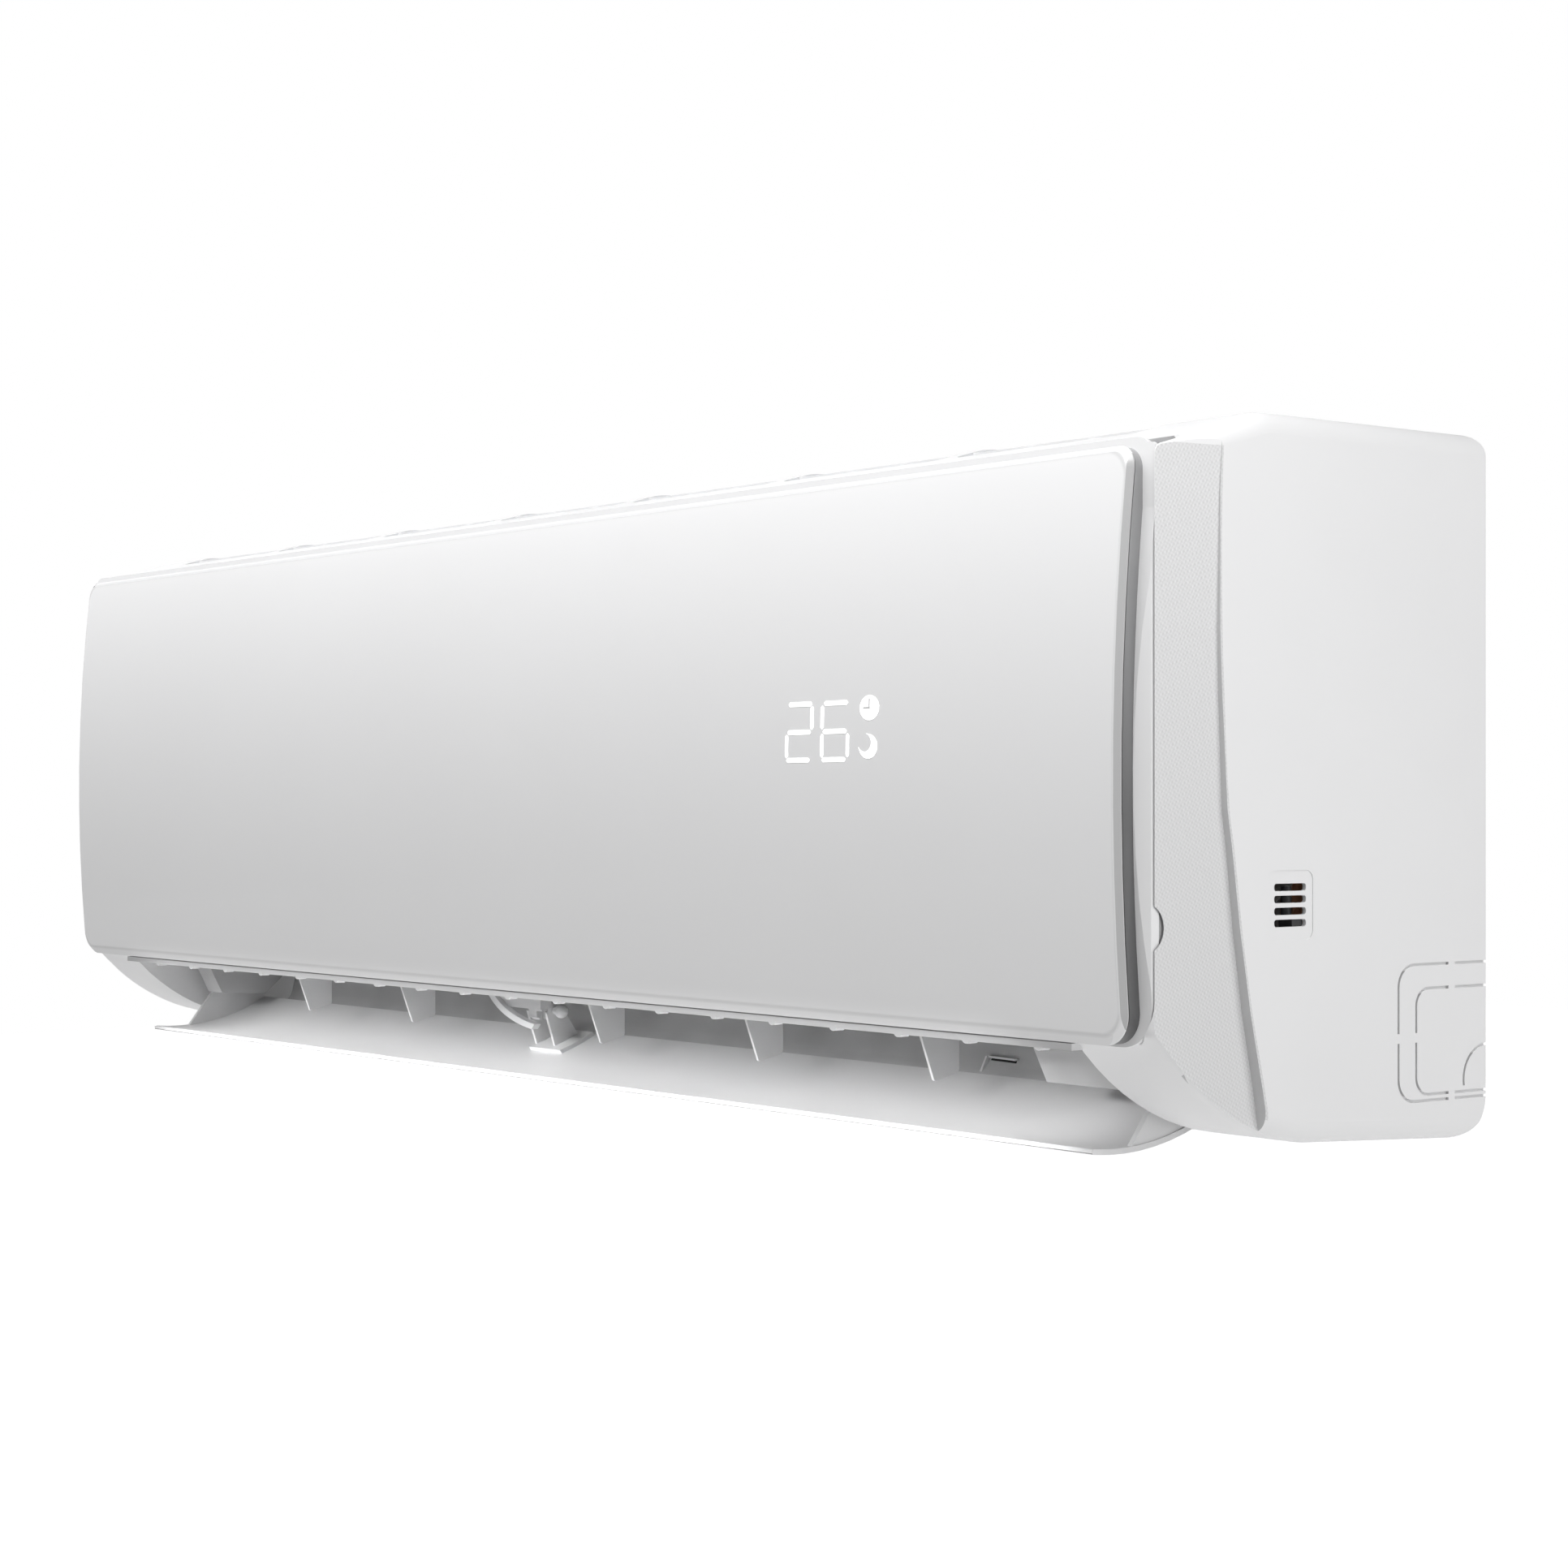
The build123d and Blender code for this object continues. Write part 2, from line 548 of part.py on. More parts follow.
def panel_frame():
    """Frame behind the skin, with the sloped rim, stiffening ribs, hinge arms and pins."""
    shape = panel_solid()
    pocket = panel_outline(RIM_WIDTH + 14, RIM_TOP_WIDTH + 16, RIM_LOW_WIDTH + 16)
    shape -= outward(pocket, PANEL_BACK - 1, DEPTH)
    space = bow_space(DEPTH - SKIN_THICK - FIT)
    for x in PANEL_RIBS:
        rib = box((x - 1.2, x + 1.2), (PANEL_BACK + 2, DEPTH), (PANEL_LOW + 12, PANEL_HIGH - 14))
        shape += (rib & space) - trim_ring(SEAT, DEPTH)
    for z in (DISPLAY_LOW - 1.2, max(PANEL_HIGH - 60, DISPLAY_LOW + DISPLAY_RISE + 3)):
        rib = box((-PANEL_X + 18, PANEL_X - 18), (PANEL_BACK + 2, DEPTH), (z - 1.2, z + 1.2))
        shape += rib & space
    for x in PANEL_ARMS:
        arm = slab([(PIN_D, PIN_Z - 2.9), (PANEL_BACK + 1.5, PIN_Z - 6), (PANEL_BACK + 1.5, PIN_Z + 2.5),
                    (PIN_D, PIN_Z + 2.5)])
        shape += along_x(arm, x - 5.5, x + 5.5)
        shape += rod_x(x - 5.5, x + 5.5, PIN_D, PIN_Z, PANEL_PIN_R + 0.9)
        shape += rod_x(x - 9.6, x + 9.6, PIN_D, PIN_Z, PANEL_PIN_R)
    return shape


# ---- louver -------------------------------------------------------------------------------------
LOUVER_TIP = (61.8, 10.4)
LOUVER_MIDDLE = (30.1, -12.3)
LOUVER_REAR = (-9.0, -24.5)


def circle_through(a, b, c):
    """Centre and radius of the circle through three points."""
    ax, ay, bx, by, cx, cy = (*a, *b, *c)
    k = 2 * (ax * (by - cy) + bx * (cy - ay) + cx * (ay - by))
    ux = ((ax**2 + ay**2) * (by - cy) + (bx**2 + by**2) * (cy - ay) + (cx**2 + cy**2) * (ay - by)) / k
    uy = ((ax**2 + ay**2) * (cx - bx) + (bx**2 + by**2) * (ax - cx) + (cx**2 + cy**2) * (bx - ax)) / k
    return (ux, uy), math.hypot(ax - ux, ay - uy)


def louver_arc(step):
    """The blade's outer line moved inward by a step, as three points relative to the hinge."""
    centre, radius = circle_through(LOUVER_TIP, LOUVER_MIDDLE, LOUVER_REAR)
    share = (radius - step) / radius
    places = []
    for x, y in (LOUVER_TIP, LOUVER_MIDDLE, LOUVER_REAR):
        places.append((centre[0] + (x - centre[0]) * share, centre[1] + (y - centre[1]) * share))
    return places


def blade_outline(low, high):
    """Outline of the blade between two steps inward from its outer line."""
    outer = louver_arc(low)
    inner = louver_arc(high)
    edges = [
        ThreePointArc(*outer),
        Line(outer[2], inner[2]),
        ThreePointArc(inner[2], inner[1], inner[0]),
        Line(inner[0], outer[0]),
    ]
    return make_face(edges)


def louver():
    """Closed louver: curved blade, end arms, centre arms and pivot pins, turned to its open rest."""
    at_hinge = Pos(HINGE_D, HINGE_HEIGHT)
    shape = along_x(at_hinge * blade_outline(0, LOUVER_THICK), -LOUVER_HALF, LOUVER_HALF)
    tips = [edge for edge in shape.edges() if edge.length > LOUVER_HALF]
    shape = fillet(tips, LOUVER_THICK * 0.4)
    inner = louver_arc(LOUVER_THICK - 0.6)
    arm = slab([(-7.0, 3.0), inner[2], (inner[2][0] + 12, inner[2][1] + 2.0), inner[1], (44, -2.5), (4, 7.5)])
    arm += Circle(8)
    arm &= blade_space(LOUVER_THICK - 0.6)
    for side in (-1, 1):
        low = LOUVER_HALF - ARM_THICK - 0.6 if side > 0 else -LOUVER_HALF + 0.6
        shape += along_x(at_hinge * arm, low, low + ARM_THICK)
    shape += rod_x(-OUTLET_HALF - WALL - 6, -LOUVER_HALF + 2, HINGE_D, HINGE_HEIGHT, LOUVER_PIN_R)
    clip = slab([(-5.0, 2.0), (-3, -24), (14, -21), (5.0, 3.0)])
    clip += Circle(4.6)
    clip &= blade_space(LOUVER_THICK - 0.6)
    left, right = BRACKET_X - 16.0, BRACKET_X + 10.0
    for low in (left, BRACKET_X + 2.0):
        shape += along_x(at_hinge * clip, low, low + 2.0)
    foot = blade_outline(LOUVER_THICK - 0.6, LOUVER_THICK + 2.2) & slab([(-6, -30), (16, -30), (16, 0), (-6, 0)])
    shape += along_x(at_hinge * foot, left, right + 5)
    shape += rod_x(left, right, HINGE_D, HINGE_HEIGHT, BRACKET_PIN_R)
    shape += Pos(right, -HINGE_D, HINGE_HEIGHT) * Sphere(BRACKET_PIN_R + 1.8)
    shape -= rod_x(LOUVER_HALF - ARM_THICK - 2, LOUVER_HALF + 1, HINGE_D, HINGE_HEIGHT, LOUVER_PIN_R)
    return turned(shape, LOUVER_TURN, HINGE_D, HINGE_HEIGHT)


def blade_space(step):
    """Everything on the hinge's side of the blade."""
    outer = louver_arc(step)
    edges = [
        ThreePointArc(*outer),
        Line(outer[2], (-40, outer[2][1])),
        Line((-40, outer[2][1]), (-40, 60)),
        Line((-40, 60), (outer[0][0], 60)),
        Line((outer[0][0], 60), outer[0]),
    ]
    return make_face(edges)


def louver_drive_shaft():
    """Shaft between the louver's right arm and its stepper motor."""
    high = OUTLET_HALF + WALL + 13
    low = LOUVER_HALF - ARM_THICK - 0.6
    return rod_x(low, high, HINGE_D, HINGE_HEIGHT, LOUVER_PIN_R)


def louver_bush():
    """Bush in the left jaw wall that carries the louver's left pin."""
    low = -OUTLET_HALF - WALL
    shape = rod_x(low, low + WALL, HINGE_D, HINGE_HEIGHT, 6.0)
    shape += rod_x(low - 2, low, HINGE_D, HINGE_HEIGHT, 7.5)
    shape -= rod_x(low - 4, low + WALL + 1, HINGE_D, HINGE_HEIGHT, LOUVER_PIN_R + RUNNING_GAP)
    return shape


def louver_stepper():
    """Round stepper motor with its ears and front boss, seated in the right jaw wall."""
    face = OUTLET_HALF + WALL
    shape = rod_x(face - WALL, face, HINGE_D, HINGE_HEIGHT, 6.0)
    shape += rod_x(face, face + 19, HINGE_D, HINGE_HEIGHT, 12.0)
    ear = rounded([(-17, -4), (17, -4), (17, 4), (-17, 4)], 3.5)
    ear -= Pos(-13, 0) * Circle(1.8) + Pos(13, 0) * Circle(1.8)
    shape += along_x(Pos(HINGE_D, HINGE_HEIGHT) * ear, face, face + 1.2)
    shape += box((face + 3, face + 17), (HINGE_D - 8, HINGE_D + 8), (HINGE_HEIGHT + 9, HINGE_HEIGHT + 15))
    shape -= rod_x(face - WALL - 1, face + 14, HINGE_D, HINGE_HEIGHT, LOUVER_PIN_R + RUNNING_GAP)
    return shape


def brace_line(step):
    """Curved front of the bracket's brace, moved up and to the right by a step."""
    places = ((-38.0, RAIL_LOW - 2), (-32.5, 40.8), (-11.6, 27.9), (13.0, 22.5))
    return [(BRACKET_X + x + step, z + (step if z < RAIL_LOW - 2 else 0)) for x, z in places]


def louver_bracket():
    """Centre bearing of the louver, hung from the vane rail, with its frame and curved brace."""
    left = BRACKET_X - 13.0
    wide = 8.0
    hook = Circle(6.2) + slab([(-6.2, 0), (-6.2, -4), (6.2, -4), (6.2, 0)])
    hook -= slab([(-2.4, 0), (-3.4, -9), (3.4, -9), (2.4, 0)])
    stem = slab([(-3, 3), (6.1, 0), (VANE_D + 4 - HINGE_D, RAIL_LOW - HINGE_HEIGHT),
                 (VANE_D - 5 - HINGE_D, RAIL_LOW - HINGE_HEIGHT)])
    hook = Pos(HINGE_D, HINGE_HEIGHT) * (hook + stem)
    shape = along_x(hook, left, left + wide)
    shape -= rod_x(left - 1, left + wide + 1, HINGE_D, HINGE_HEIGHT, BRACKET_PIN_R + RUNNING_GAP)
    # second upright to the right of the pin's ball, stopping short of it
    upright = slab([(VANE_D - 4, HINGE_HEIGHT + 3), (VANE_D + 2, HINGE_HEIGHT + 1), (VANE_D + 4, RAIL_LOW),
                    (VANE_D - 4, RAIL_LOW)])
    shape += along_x(upright, BRACKET_X + 5, BRACKET_X + 17)
    # frame between the uprights and the brace
    depth = VANE_D + 1
    shape += outward(slab([(BRACKET_X - 31, RAIL_LOW), (BRACKET_X - 31, 42), (BRACKET_X - 14, 33),
                           (BRACKET_X + 17, 33), (BRACKET_X + 17, 40), (BRACKET_X - 8, 40),
                           (BRACKET_X - 8, RAIL_LOW)])
                     - slab([(BRACKET_X - 22, RAIL_LOW - 4), (BRACKET_X - 22, 44), (BRACKET_X - 12, 40),
                             (BRACKET_X - 12, RAIL_LOW - 4)]), depth, depth + 2)
    for x in (-30.5, -27.0, -23.5):
        shape += box((BRACKET_X + x, BRACKET_X + x + 1), (depth + 1.5, depth + 4), (43, RAIL_LOW - 2))
    # brace from the rail down to the front of the bearing
    outer = brace_line(0.0)
    inner = brace_line(2.8)[::-1]
    brace = make_face([Spline(*outer), Line(outer[-1], inner[0]), Spline(*inner), Line(inner[-1], outer[0])])
    shape += outward(brace, depth + 1, depth + 5)
    shape += box((outer[0][0] - 2, BRACKET_X + 17), (VANE_D - 4, depth + 5), (RAIL_LOW - 3, RAIL_LOW))
    return shape


# ---- vanes --------------------------------------------------------------------------------------
LINK_HALF = 2.5
LINK_THICK = 5.0
VANE_GROUPS = {
    "left": (-0.2938 * LENGTH, -0.1701 * LENGTH),
    "right": (0.0258 * LENGTH, 0.1649 * LENGTH, 0.299 * LENGTH),
}


def ceiling_height(depth):
    """Height of the outlet's ceiling at a depth."""
    near, far = (CEILING[0], CEILING[1]) if depth < CEILING[1][0] else (CEILING[1], CEILING[2])
    fall = (far[1] - near[1]) / (far[0] - near[0])
    return near[1] + fall * (depth - near[0])


def vane(x):
    """Upright vane with its top pin and the small pin that the link holds."""
    rear = VANE_D - 7
    front = VANE_D + 16
    outline = rounded([(rear, RAIL_LOW - 2), (rear, 22.6), (VANE_D + 7.5, 19.0), (front, 42),
                       (front, ceiling_height(front) - 5), (VANE_D + 8, RAIL_LOW - 2)],
                      [2, 2, 1.5, 4, 1, 1])
    outline -= slab([(LINK_D - LINK_HALF - 2.4, LINK_HEIGHT - 0.4), (front + 1, LINK_HEIGHT - 0.4),
                     (front + 1, LINK_HEIGHT + LINK_THICK + 0.4),
                     (LINK_D - LINK_HALF - 2.4, LINK_HEIGHT + LINK_THICK + 0.4)])
    shape = along_x(outline, x - VANE_THICK / 2, x + VANE_THICK / 2)
    shape += rod_up(x, VANE_D, RAIL_LOW - 4, RAIL_LOW + RAIL_THICK + 1.5, VANE_PIN_R)
    shape += rod_up(x, LINK_D, LINK_HEIGHT - 1.4, LINK_HEIGHT + LINK_THICK + 1.4, LINK_PIN_R)
    return shape


def vane_link(places, tree_place):
    """Flat bar that ties a group of vanes together, with a finger tab."""
    low = places[0] - 6
    high = places[-1] + 6
    bar = rounded([(low, LINK_D - LINK_HALF), (high, LINK_D - LINK_HALF), (high, LINK_D + LINK_HALF),
                   (low, LINK_D + LINK_HALF)], 2.0)
    for x in places:
        loose = RUNNING_GAP if x == tree_place else 0.25
        bar -= Pos(x, LINK_D) * Circle(LINK_PIN_R + loose)
    return upward(bar, LINK_HEIGHT, LINK_HEIGHT + LINK_THICK)


def vane_rail():
    """Rail under the outlet's ceiling that the vanes' top pins turn in."""
    places = [x for group in VANE_GROUPS.values() for x in group]
    low = places[0] - 14
    high = places[-1] + 14
    shape = box((low, high), (VANE_D - 5.5, VANE_D + 6), (RAIL_LOW, RAIL_LOW + RAIL_THICK))
    for x in places:
        shape -= rod_up(x, VANE_D, RAIL_LOW - 1, RAIL_LOW + RAIL_THICK + 1, VANE_PIN_R + RUNNING_GAP)
    for x in [low + 5] + [(a + b) / 2 for a, b in zip(places, places[1:])] + [high - 5]:
        near = VANE_D - 2
        far = VANE_D + 4
        post = slab([(near, RAIL_LOW + RAIL_THICK - 0.5), (far, RAIL_LOW + RAIL_THICK - 0.5),
                     (far, ceiling_height(far)), CEILING[1], (near, ceiling_height(near))])
        shape += along_x(post, x - 4, x + 4)
    return shape


# ---- rear chassis -------------------------------------------------------------------------------
CHASSIS_END = END_X - WALL - 0.6


def scroll_points():
    """Duct side of the scroll, from the outlet's lower edge round behind the fan."""
    return [
        (JAW_REAR[0] - 1.0, JAW_REAR[1] + 1.4),
        (JAW_REAR[0] - 8.5, 12.5),
        (HINGE_D - 28.5, 22.0),
        (HINGE_D - 31.5, 34.0),
        (FAN_D - 40.0 * FAN_SCALE, FAN_HEIGHT - 60.0 * FAN_SCALE),
        (FAN_D - 57.0 * FAN_SCALE, FAN_HEIGHT - 22.0 * FAN_SCALE),
        (FAN_D - 56.0 * FAN_SCALE, FAN_HEIGHT + 14.0 * FAN_SCALE),
        (FAN_D - 40.0 * FAN_SCALE, FAN_HEIGHT + 40.0 * FAN_SCALE),
        (FAN_D - 42.0 * FAN_SCALE, GUTTER_HEIGHT + 8.0),
    ]


def duct_end_outline():
    """Side view of the fan chamber between the scroll, the drip tray and the evaporator."""
    points = [(a, b) for a, b in scroll_points()[3:8]]
    return slab(points + [
        (FAN_D - 20, FAN_HEIGHT + 57 * FAN_SCALE),
        (FAN_D + 16, FAN_HEIGHT + 57 * FAN_SCALE),
        (FAN_D + 50 * FAN_SCALE, FAN_HEIGHT + 26),
        (FAN_D + 50 * FAN_SCALE, FAN_HEIGHT - 30 * FAN_SCALE),
        (CEILING[0][0] - 2, CEILING[0][1] + 1),
        (CEILING[1][0] - 8, CEILING[1][1]),
        (CEILING[1][0] - 8, 40),
        (HINGE_D - 18, 40),
    ])


def rear_chassis():
    """Back wall, underside, scroll, fan chamber ends, pipe channel and motor seat."""
    top = HEIGHT - REAR_TOP_RADIUS + 4.0
    back = rounded([(-CHASSIS_END, SHELF_HEIGHT), (CHASSIS_END, SHELF_HEIGHT), (CHASSIS_END, top),
                    (-CHASSIS_END, top)], [0, 0, END_RADIUS, END_RADIUS])
    shape = outward(back, BACK_LOW, BACK_LOW + BACK_THICK)
    scroll = band(scroll_points(), DUCT_WALL, [0, 8, 8, 12, 60, 40, 40, 12, 0])
    shape += along_x(scroll, DUCT_LEFT - DUCT_WALL, DUCT_RIGHT + DUCT_WALL)
    shape += box((-CHASSIS_END, CHASSIS_END), (BACK_LOW, FAN_D - 44), (SHELF_HEIGHT, SHELF_HEIGHT + DUCT_WALL))
    shape += box((DUCT_LEFT, DUCT_RIGHT), (BACK_LOW, FAN_D - 43), (GUTTER_HEIGHT - DUCT_WALL, GUTTER_HEIGHT))
    floor = slab([(JAW_REAR[0] - 0.6, JAW_REAR[1] + 0.2), (20, 2.0), (20, 4.4), (JAW_REAR[0] - 6, JAW_REAR[1] + 4)])
    shape += along_x(floor, -OUTLET_HALF + 0.5, OUTLET_HALF - 0.5)
    end = duct_end_outline()
    hole = Pos(FAN_D, FAN_HEIGHT) * Circle(16)
    shape += along_x(end - hole, DUCT_LEFT - DUCT_WALL, DUCT_LEFT)
    shape += along_x(end - hole, DUCT_RIGHT, DUCT_RIGHT + DUCT_WALL)
    # seat of the motor's rubbers
    for low in (MOTOR_LOW - 6.5, MOTOR_LOW + MOTOR_LENGTH + 0.5):
        shape += along_x(motor_cradle_outline(True), low, low + 6)
    for x, z in motor_screw_places():
        shape -= rod_out(x, z, FAN_D - 6, FAN_D + 1, 1.9)
    # arms that carry the electronics box
    for z in (BOX_HEIGHT[0] + 16, BOX_HEIGHT[1] - 30):
        shape += box((BOX_X[1], BOX_X[1] + 3), (BACK_LOW, BOX_DEPTH[0] + 22), (z, z + 14))
    # passages of the pipes through the shelf, and slots for the wall plate's hooks
    for x, depth, radius in ((LIQUID_DROP_X, LIQUID_DEPTH, LIQUID_RADIUS),
                             (SUCTION_DROP_X, SUCTION_DEPTH, SUCTION_RADIUS)):
        shape -= rod_up(x, depth, SHELF_HEIGHT - 1, SHELF_HEIGHT + DUCT_WALL + 1, radius + 0.8)
    for x in HOOK_PLACES:
        shape -= box((x - 16, x + 16), (BACK_LOW - 1, BACK_LOW + BACK_THICK + 1), (HOOK_HEIGHT - 12, HOOK_HEIGHT))
    # ways down to the channel for a hose on either spout
    for x in (-SPOUT_X, SPOUT_X):
        shape -= box((x - HOSE_WAY, x + HOSE_WAY), (BACK_LOW + BACK_THICK, FAN_D - 43),
                     (SHELF_HEIGHT - 1, SHELF_HEIGHT + DUCT_WALL + 1))
    return shape


# ---- fan and motor ------------------------------------------------------------------------------
MOTOR_GAP = 12.0
MOTOR_LOW = DUCT_RIGHT + DUCT_WALL + MOTOR_GAP
FAN_END_GAP = 5.0
FAN_LOW = DUCT_LEFT + FAN_END_GAP
FAN_HIGH = DUCT_RIGHT - FAN_END_GAP
DISC_THICK = 2.0
BLADE_THICK = 1.3
BOSS_RADIUS = 14.0
SET_SCREW_X = FAN_HIGH - 11.0
SET_SCREW_RADIUS = 2.5


def fan_blade():
    """Outline of one forward-curved blade at the right of the wheel."""
    outer = FAN_RADIUS - 0.6
    inner = FAN_INNER_RADIUS
    middle = (outer + inner) / 2
    return make_face([
        ThreePointArc((inner, 0), (middle, 2.6), (outer, 2.0)),
        Line((outer, 2.0), (outer - 0.2, 2.0 - BLADE_THICK)),
        ThreePointArc((outer - 0.2, 2.0 - BLADE_THICK), (middle, 2.6 - BLADE_THICK), (inner, -BLADE_THICK * 0.7)),
        Line((inner, -BLADE_THICK * 0.7), (inner, 0)),
    ])


def fan_wheel():
    """Cross-flow wheel: rings of blades between discs, closed end discs and the two bosses."""
    blade = fan_blade()
    at_fan = Pos(FAN_D, FAN_HEIGHT)
    blades = [along_x(at_fan * Rot(0, 0, i * 360 / FAN_BLADES) * blade, FAN_LOW, FAN_HIGH)
              for i in range(FAN_BLADES)]
    pitch = (FAN_HIGH - FAN_LOW - DISC_THICK) / FAN_SEGMENTS
    discs = []
    for i in range(FAN_SEGMENTS + 1):
        low = FAN_LOW + i * pitch
        disc = Circle(FAN_RADIUS)
        if 0 < i < FAN_SEGMENTS:
            disc -= Circle(FAN_INNER_RADIUS - 3)
        discs.append(along_x(at_fan * disc, low, low + DISC_THICK))
    shape = discs[0] + discs[1:] + blades
    shape += rod_x(FAN_HIGH - 26, FAN_HIGH, FAN_D, FAN_HEIGHT, BOSS_RADIUS)
    shape -= rod_x(FAN_HIGH - 22, FAN_HIGH + 1, FAN_D, FAN_HEIGHT, SHAFT_RADIUS + 0.02)
    shape -= rod_x(FAN_LOW - 1, FAN_LOW + DISC_THICK + 1, FAN_D, FAN_HEIGHT, SHAFT_RADIUS)
    return shape - rod_up(SET_SCREW_X, FAN_D, FAN_HEIGHT, FAN_HEIGHT + BOSS_RADIUS + 1, SET_SCREW_RADIUS)


def fan_axle():
    """Steel stub at the wheel's left end, moulded into a boss behind the end disc."""
    return rod_x(FAN_LOW - 14, FAN_LOW + DISC_THICK, FAN_D, FAN_HEIGHT, SHAFT_RADIUS)


def fan_bearing():
    """Rubber-sleeved bearing at the wheel's left end."""
    low = DUCT_LEFT - DUCT_WALL - 9
    shape = rod_x(low, low + 10, FAN_D, FAN_HEIGHT, 11.0)
    return shape - rod_x(low - 1, low + 11, FAN_D, FAN_HEIGHT, SHAFT_RADIUS + RUNNING_GAP)


def bearing_holder():
    """Clip-in plate that holds the left bearing against the duct's end wall."""
    low = DUCT_LEFT - DUCT_WALL - 9
    plate = rounded([(FAN_D - 20, FAN_HEIGHT - 18), (FAN_D + 20, FAN_HEIGHT - 18),
                     (FAN_D + 20, FAN_HEIGHT + 18), (FAN_D - 20, FAN_HEIGHT + 18)], 6)
    shape = along_x(plate, low, low + 9)
    return shape - rod_x(low - 1, low + 10, FAN_D, FAN_HEIGHT, 11.0)


def motor_shaft():
    """Motor's shaft, held in the wheel's right boss."""
    shape = rod_x(FAN_HIGH - 21, MOTOR_LOW + MOTOR_LENGTH + 6, FAN_D, FAN_HEIGHT, SHAFT_RADIUS - 0.03)
    return shape


def fan_set_screw():
    """Set screw through the boss onto the motor's shaft."""
    low = FAN_HEIGHT + SHAFT_RADIUS
    return rod_up(SET_SCREW_X, FAN_D, low, FAN_HEIGHT + BOSS_RADIUS - 0.2, SET_SCREW_RADIUS - 0.02)


def fan_motor():
    """Moulded motor: can, bearing hubs at both ends, and a wire outlet."""
    high = MOTOR_LOW + MOTOR_LENGTH
    shape = rod_x(MOTOR_LOW, high, FAN_D, FAN_HEIGHT, MOTOR_RADIUS)
    shape = fillet(shape.edges().filter_by(GeomType.CIRCLE), 5.0)
    shape += rod_x(MOTOR_LOW - 7, high + 7, FAN_D, FAN_HEIGHT, 15.0)
    top = FAN_HEIGHT + MOTOR_RADIUS
    shape += box((high - 18, high - 4), (FAN_D - 24, FAN_D - 8), (top - 9, top + 3))
    return shape - rod_x(MOTOR_LOW - 8, high + 8, FAN_D, FAN_HEIGHT, SHAFT_RADIUS + 0.03)


def motor_rubber(low):
    """Rubber ring on one hub of the motor."""
    shape = rod_x(low, low + 6.0, FAN_D, FAN_HEIGHT, 21.0)
    return shape - rod_x(low - 1, low + 7, FAN_D, FAN_HEIGHT, 15.0)


def motor_rubbers():
    """Rubber rings on both hubs."""
    high = MOTOR_LOW + MOTOR_LENGTH
    return Compound(children=[motor_rubber(MOTOR_LOW - 6.5), motor_rubber(high + 0.5)])


def motor_cradle_outline(low_side):
    """Half of the ring that grips a motor rubber, with a foot behind or flanges in front."""
    ring = Pos(FAN_D, FAN_HEIGHT) * (Circle(26) - Circle(21 + FIT))
    if low_side:
        ring += slab([(BACK_LOW + BACK_THICK - 1, FAN_HEIGHT - 12), (FAN_D - 22, FAN_HEIGHT - 12),
                      (FAN_D - 22, FAN_HEIGHT + 12), (BACK_LOW + BACK_THICK - 1, FAN_HEIGHT + 12)])
        half = slab([(-9, 0), (FAN_D, 0), (FAN_D, 300), (-9, 300)])
    else:
        half = slab([(FAN_D + 0.2, 0), (FAN_D + 99, 0), (FAN_D + 99, 300), (FAN_D + 0.2, 300)])
    flanges = []
    for side in (-1, 1):
        z = FAN_HEIGHT + side * 31
        flanges.append(slab([(FAN_D - 5, z - 7), (FAN_D + 5, z - 7), (FAN_D + 5, z + 7), (FAN_D - 5, z + 7)]))
    ring += flanges
    return ring & half


def motor_clamp():
    """Front half of the motor's mount: two half rings joined by straps."""
    shape = None
    places = [MOTOR_LOW - 6.5, MOTOR_LOW + MOTOR_LENGTH + 0.5]
    for low in places:
        piece = along_x(motor_cradle_outline(False), low, low + 6)
        shape = piece if shape is None else shape + piece
    for side in (-1, 1):
        z = FAN_HEIGHT + side * 31
        low_z, high_z = (z, z + 7) if side > 0 else (z - 7, z)
        low_z += side * 6.5
        high_z += side * 6.5
        shape += box((places[0], places[1] + 6), (FAN_D + 0.2, FAN_D + 4.0), (low_z + side * 5, high_z + side * 5))
        for low in places:
            shape += box((low, low + 6), (FAN_D + 0.2, FAN_D + 5), (min(z, z + side * 18), max(z, z + side * 18)))
    for screw_x, screw_z in motor_screw_places():
        shape -= rod_out(screw_x, screw_z, FAN_D, FAN_D + 9, 1.9)
    return shape


def motor_screw_places():
    """Where the clamp's screws go."""
    places = (MOTOR_LOW - 3.5, MOTOR_LOW + MOTOR_LENGTH + 3.5)
    return [(x, FAN_HEIGHT + side * 33) for x in places for side in (-1, 1)]


def pan_screw(x, height, head_depth, length, radius=2.0, head=3.6):
    """Round-headed screw driven towards the wall, with a cross recess."""
    shape = rod_out(x, height, head_depth - length, head_depth, radius)
    shape += rod_out(x, height, head_depth, head_depth + 2.0, head)
    for wide, tall in ((head * 1.1, 0.9), (0.9, head * 1.1)):
        shape -= box((x - wide / 2, x + wide / 2), (head_depth + 1.0, head_depth + 3),
                     (height - tall / 2, height + tall / 2))
    return shape


def motor_screws():
    """Four screws of the motor clamp."""
    return Compound(children=[pan_screw(x, z, FAN_D + 5.0, 9.0, 1.8, 3.4) for x, z in motor_screw_places()])


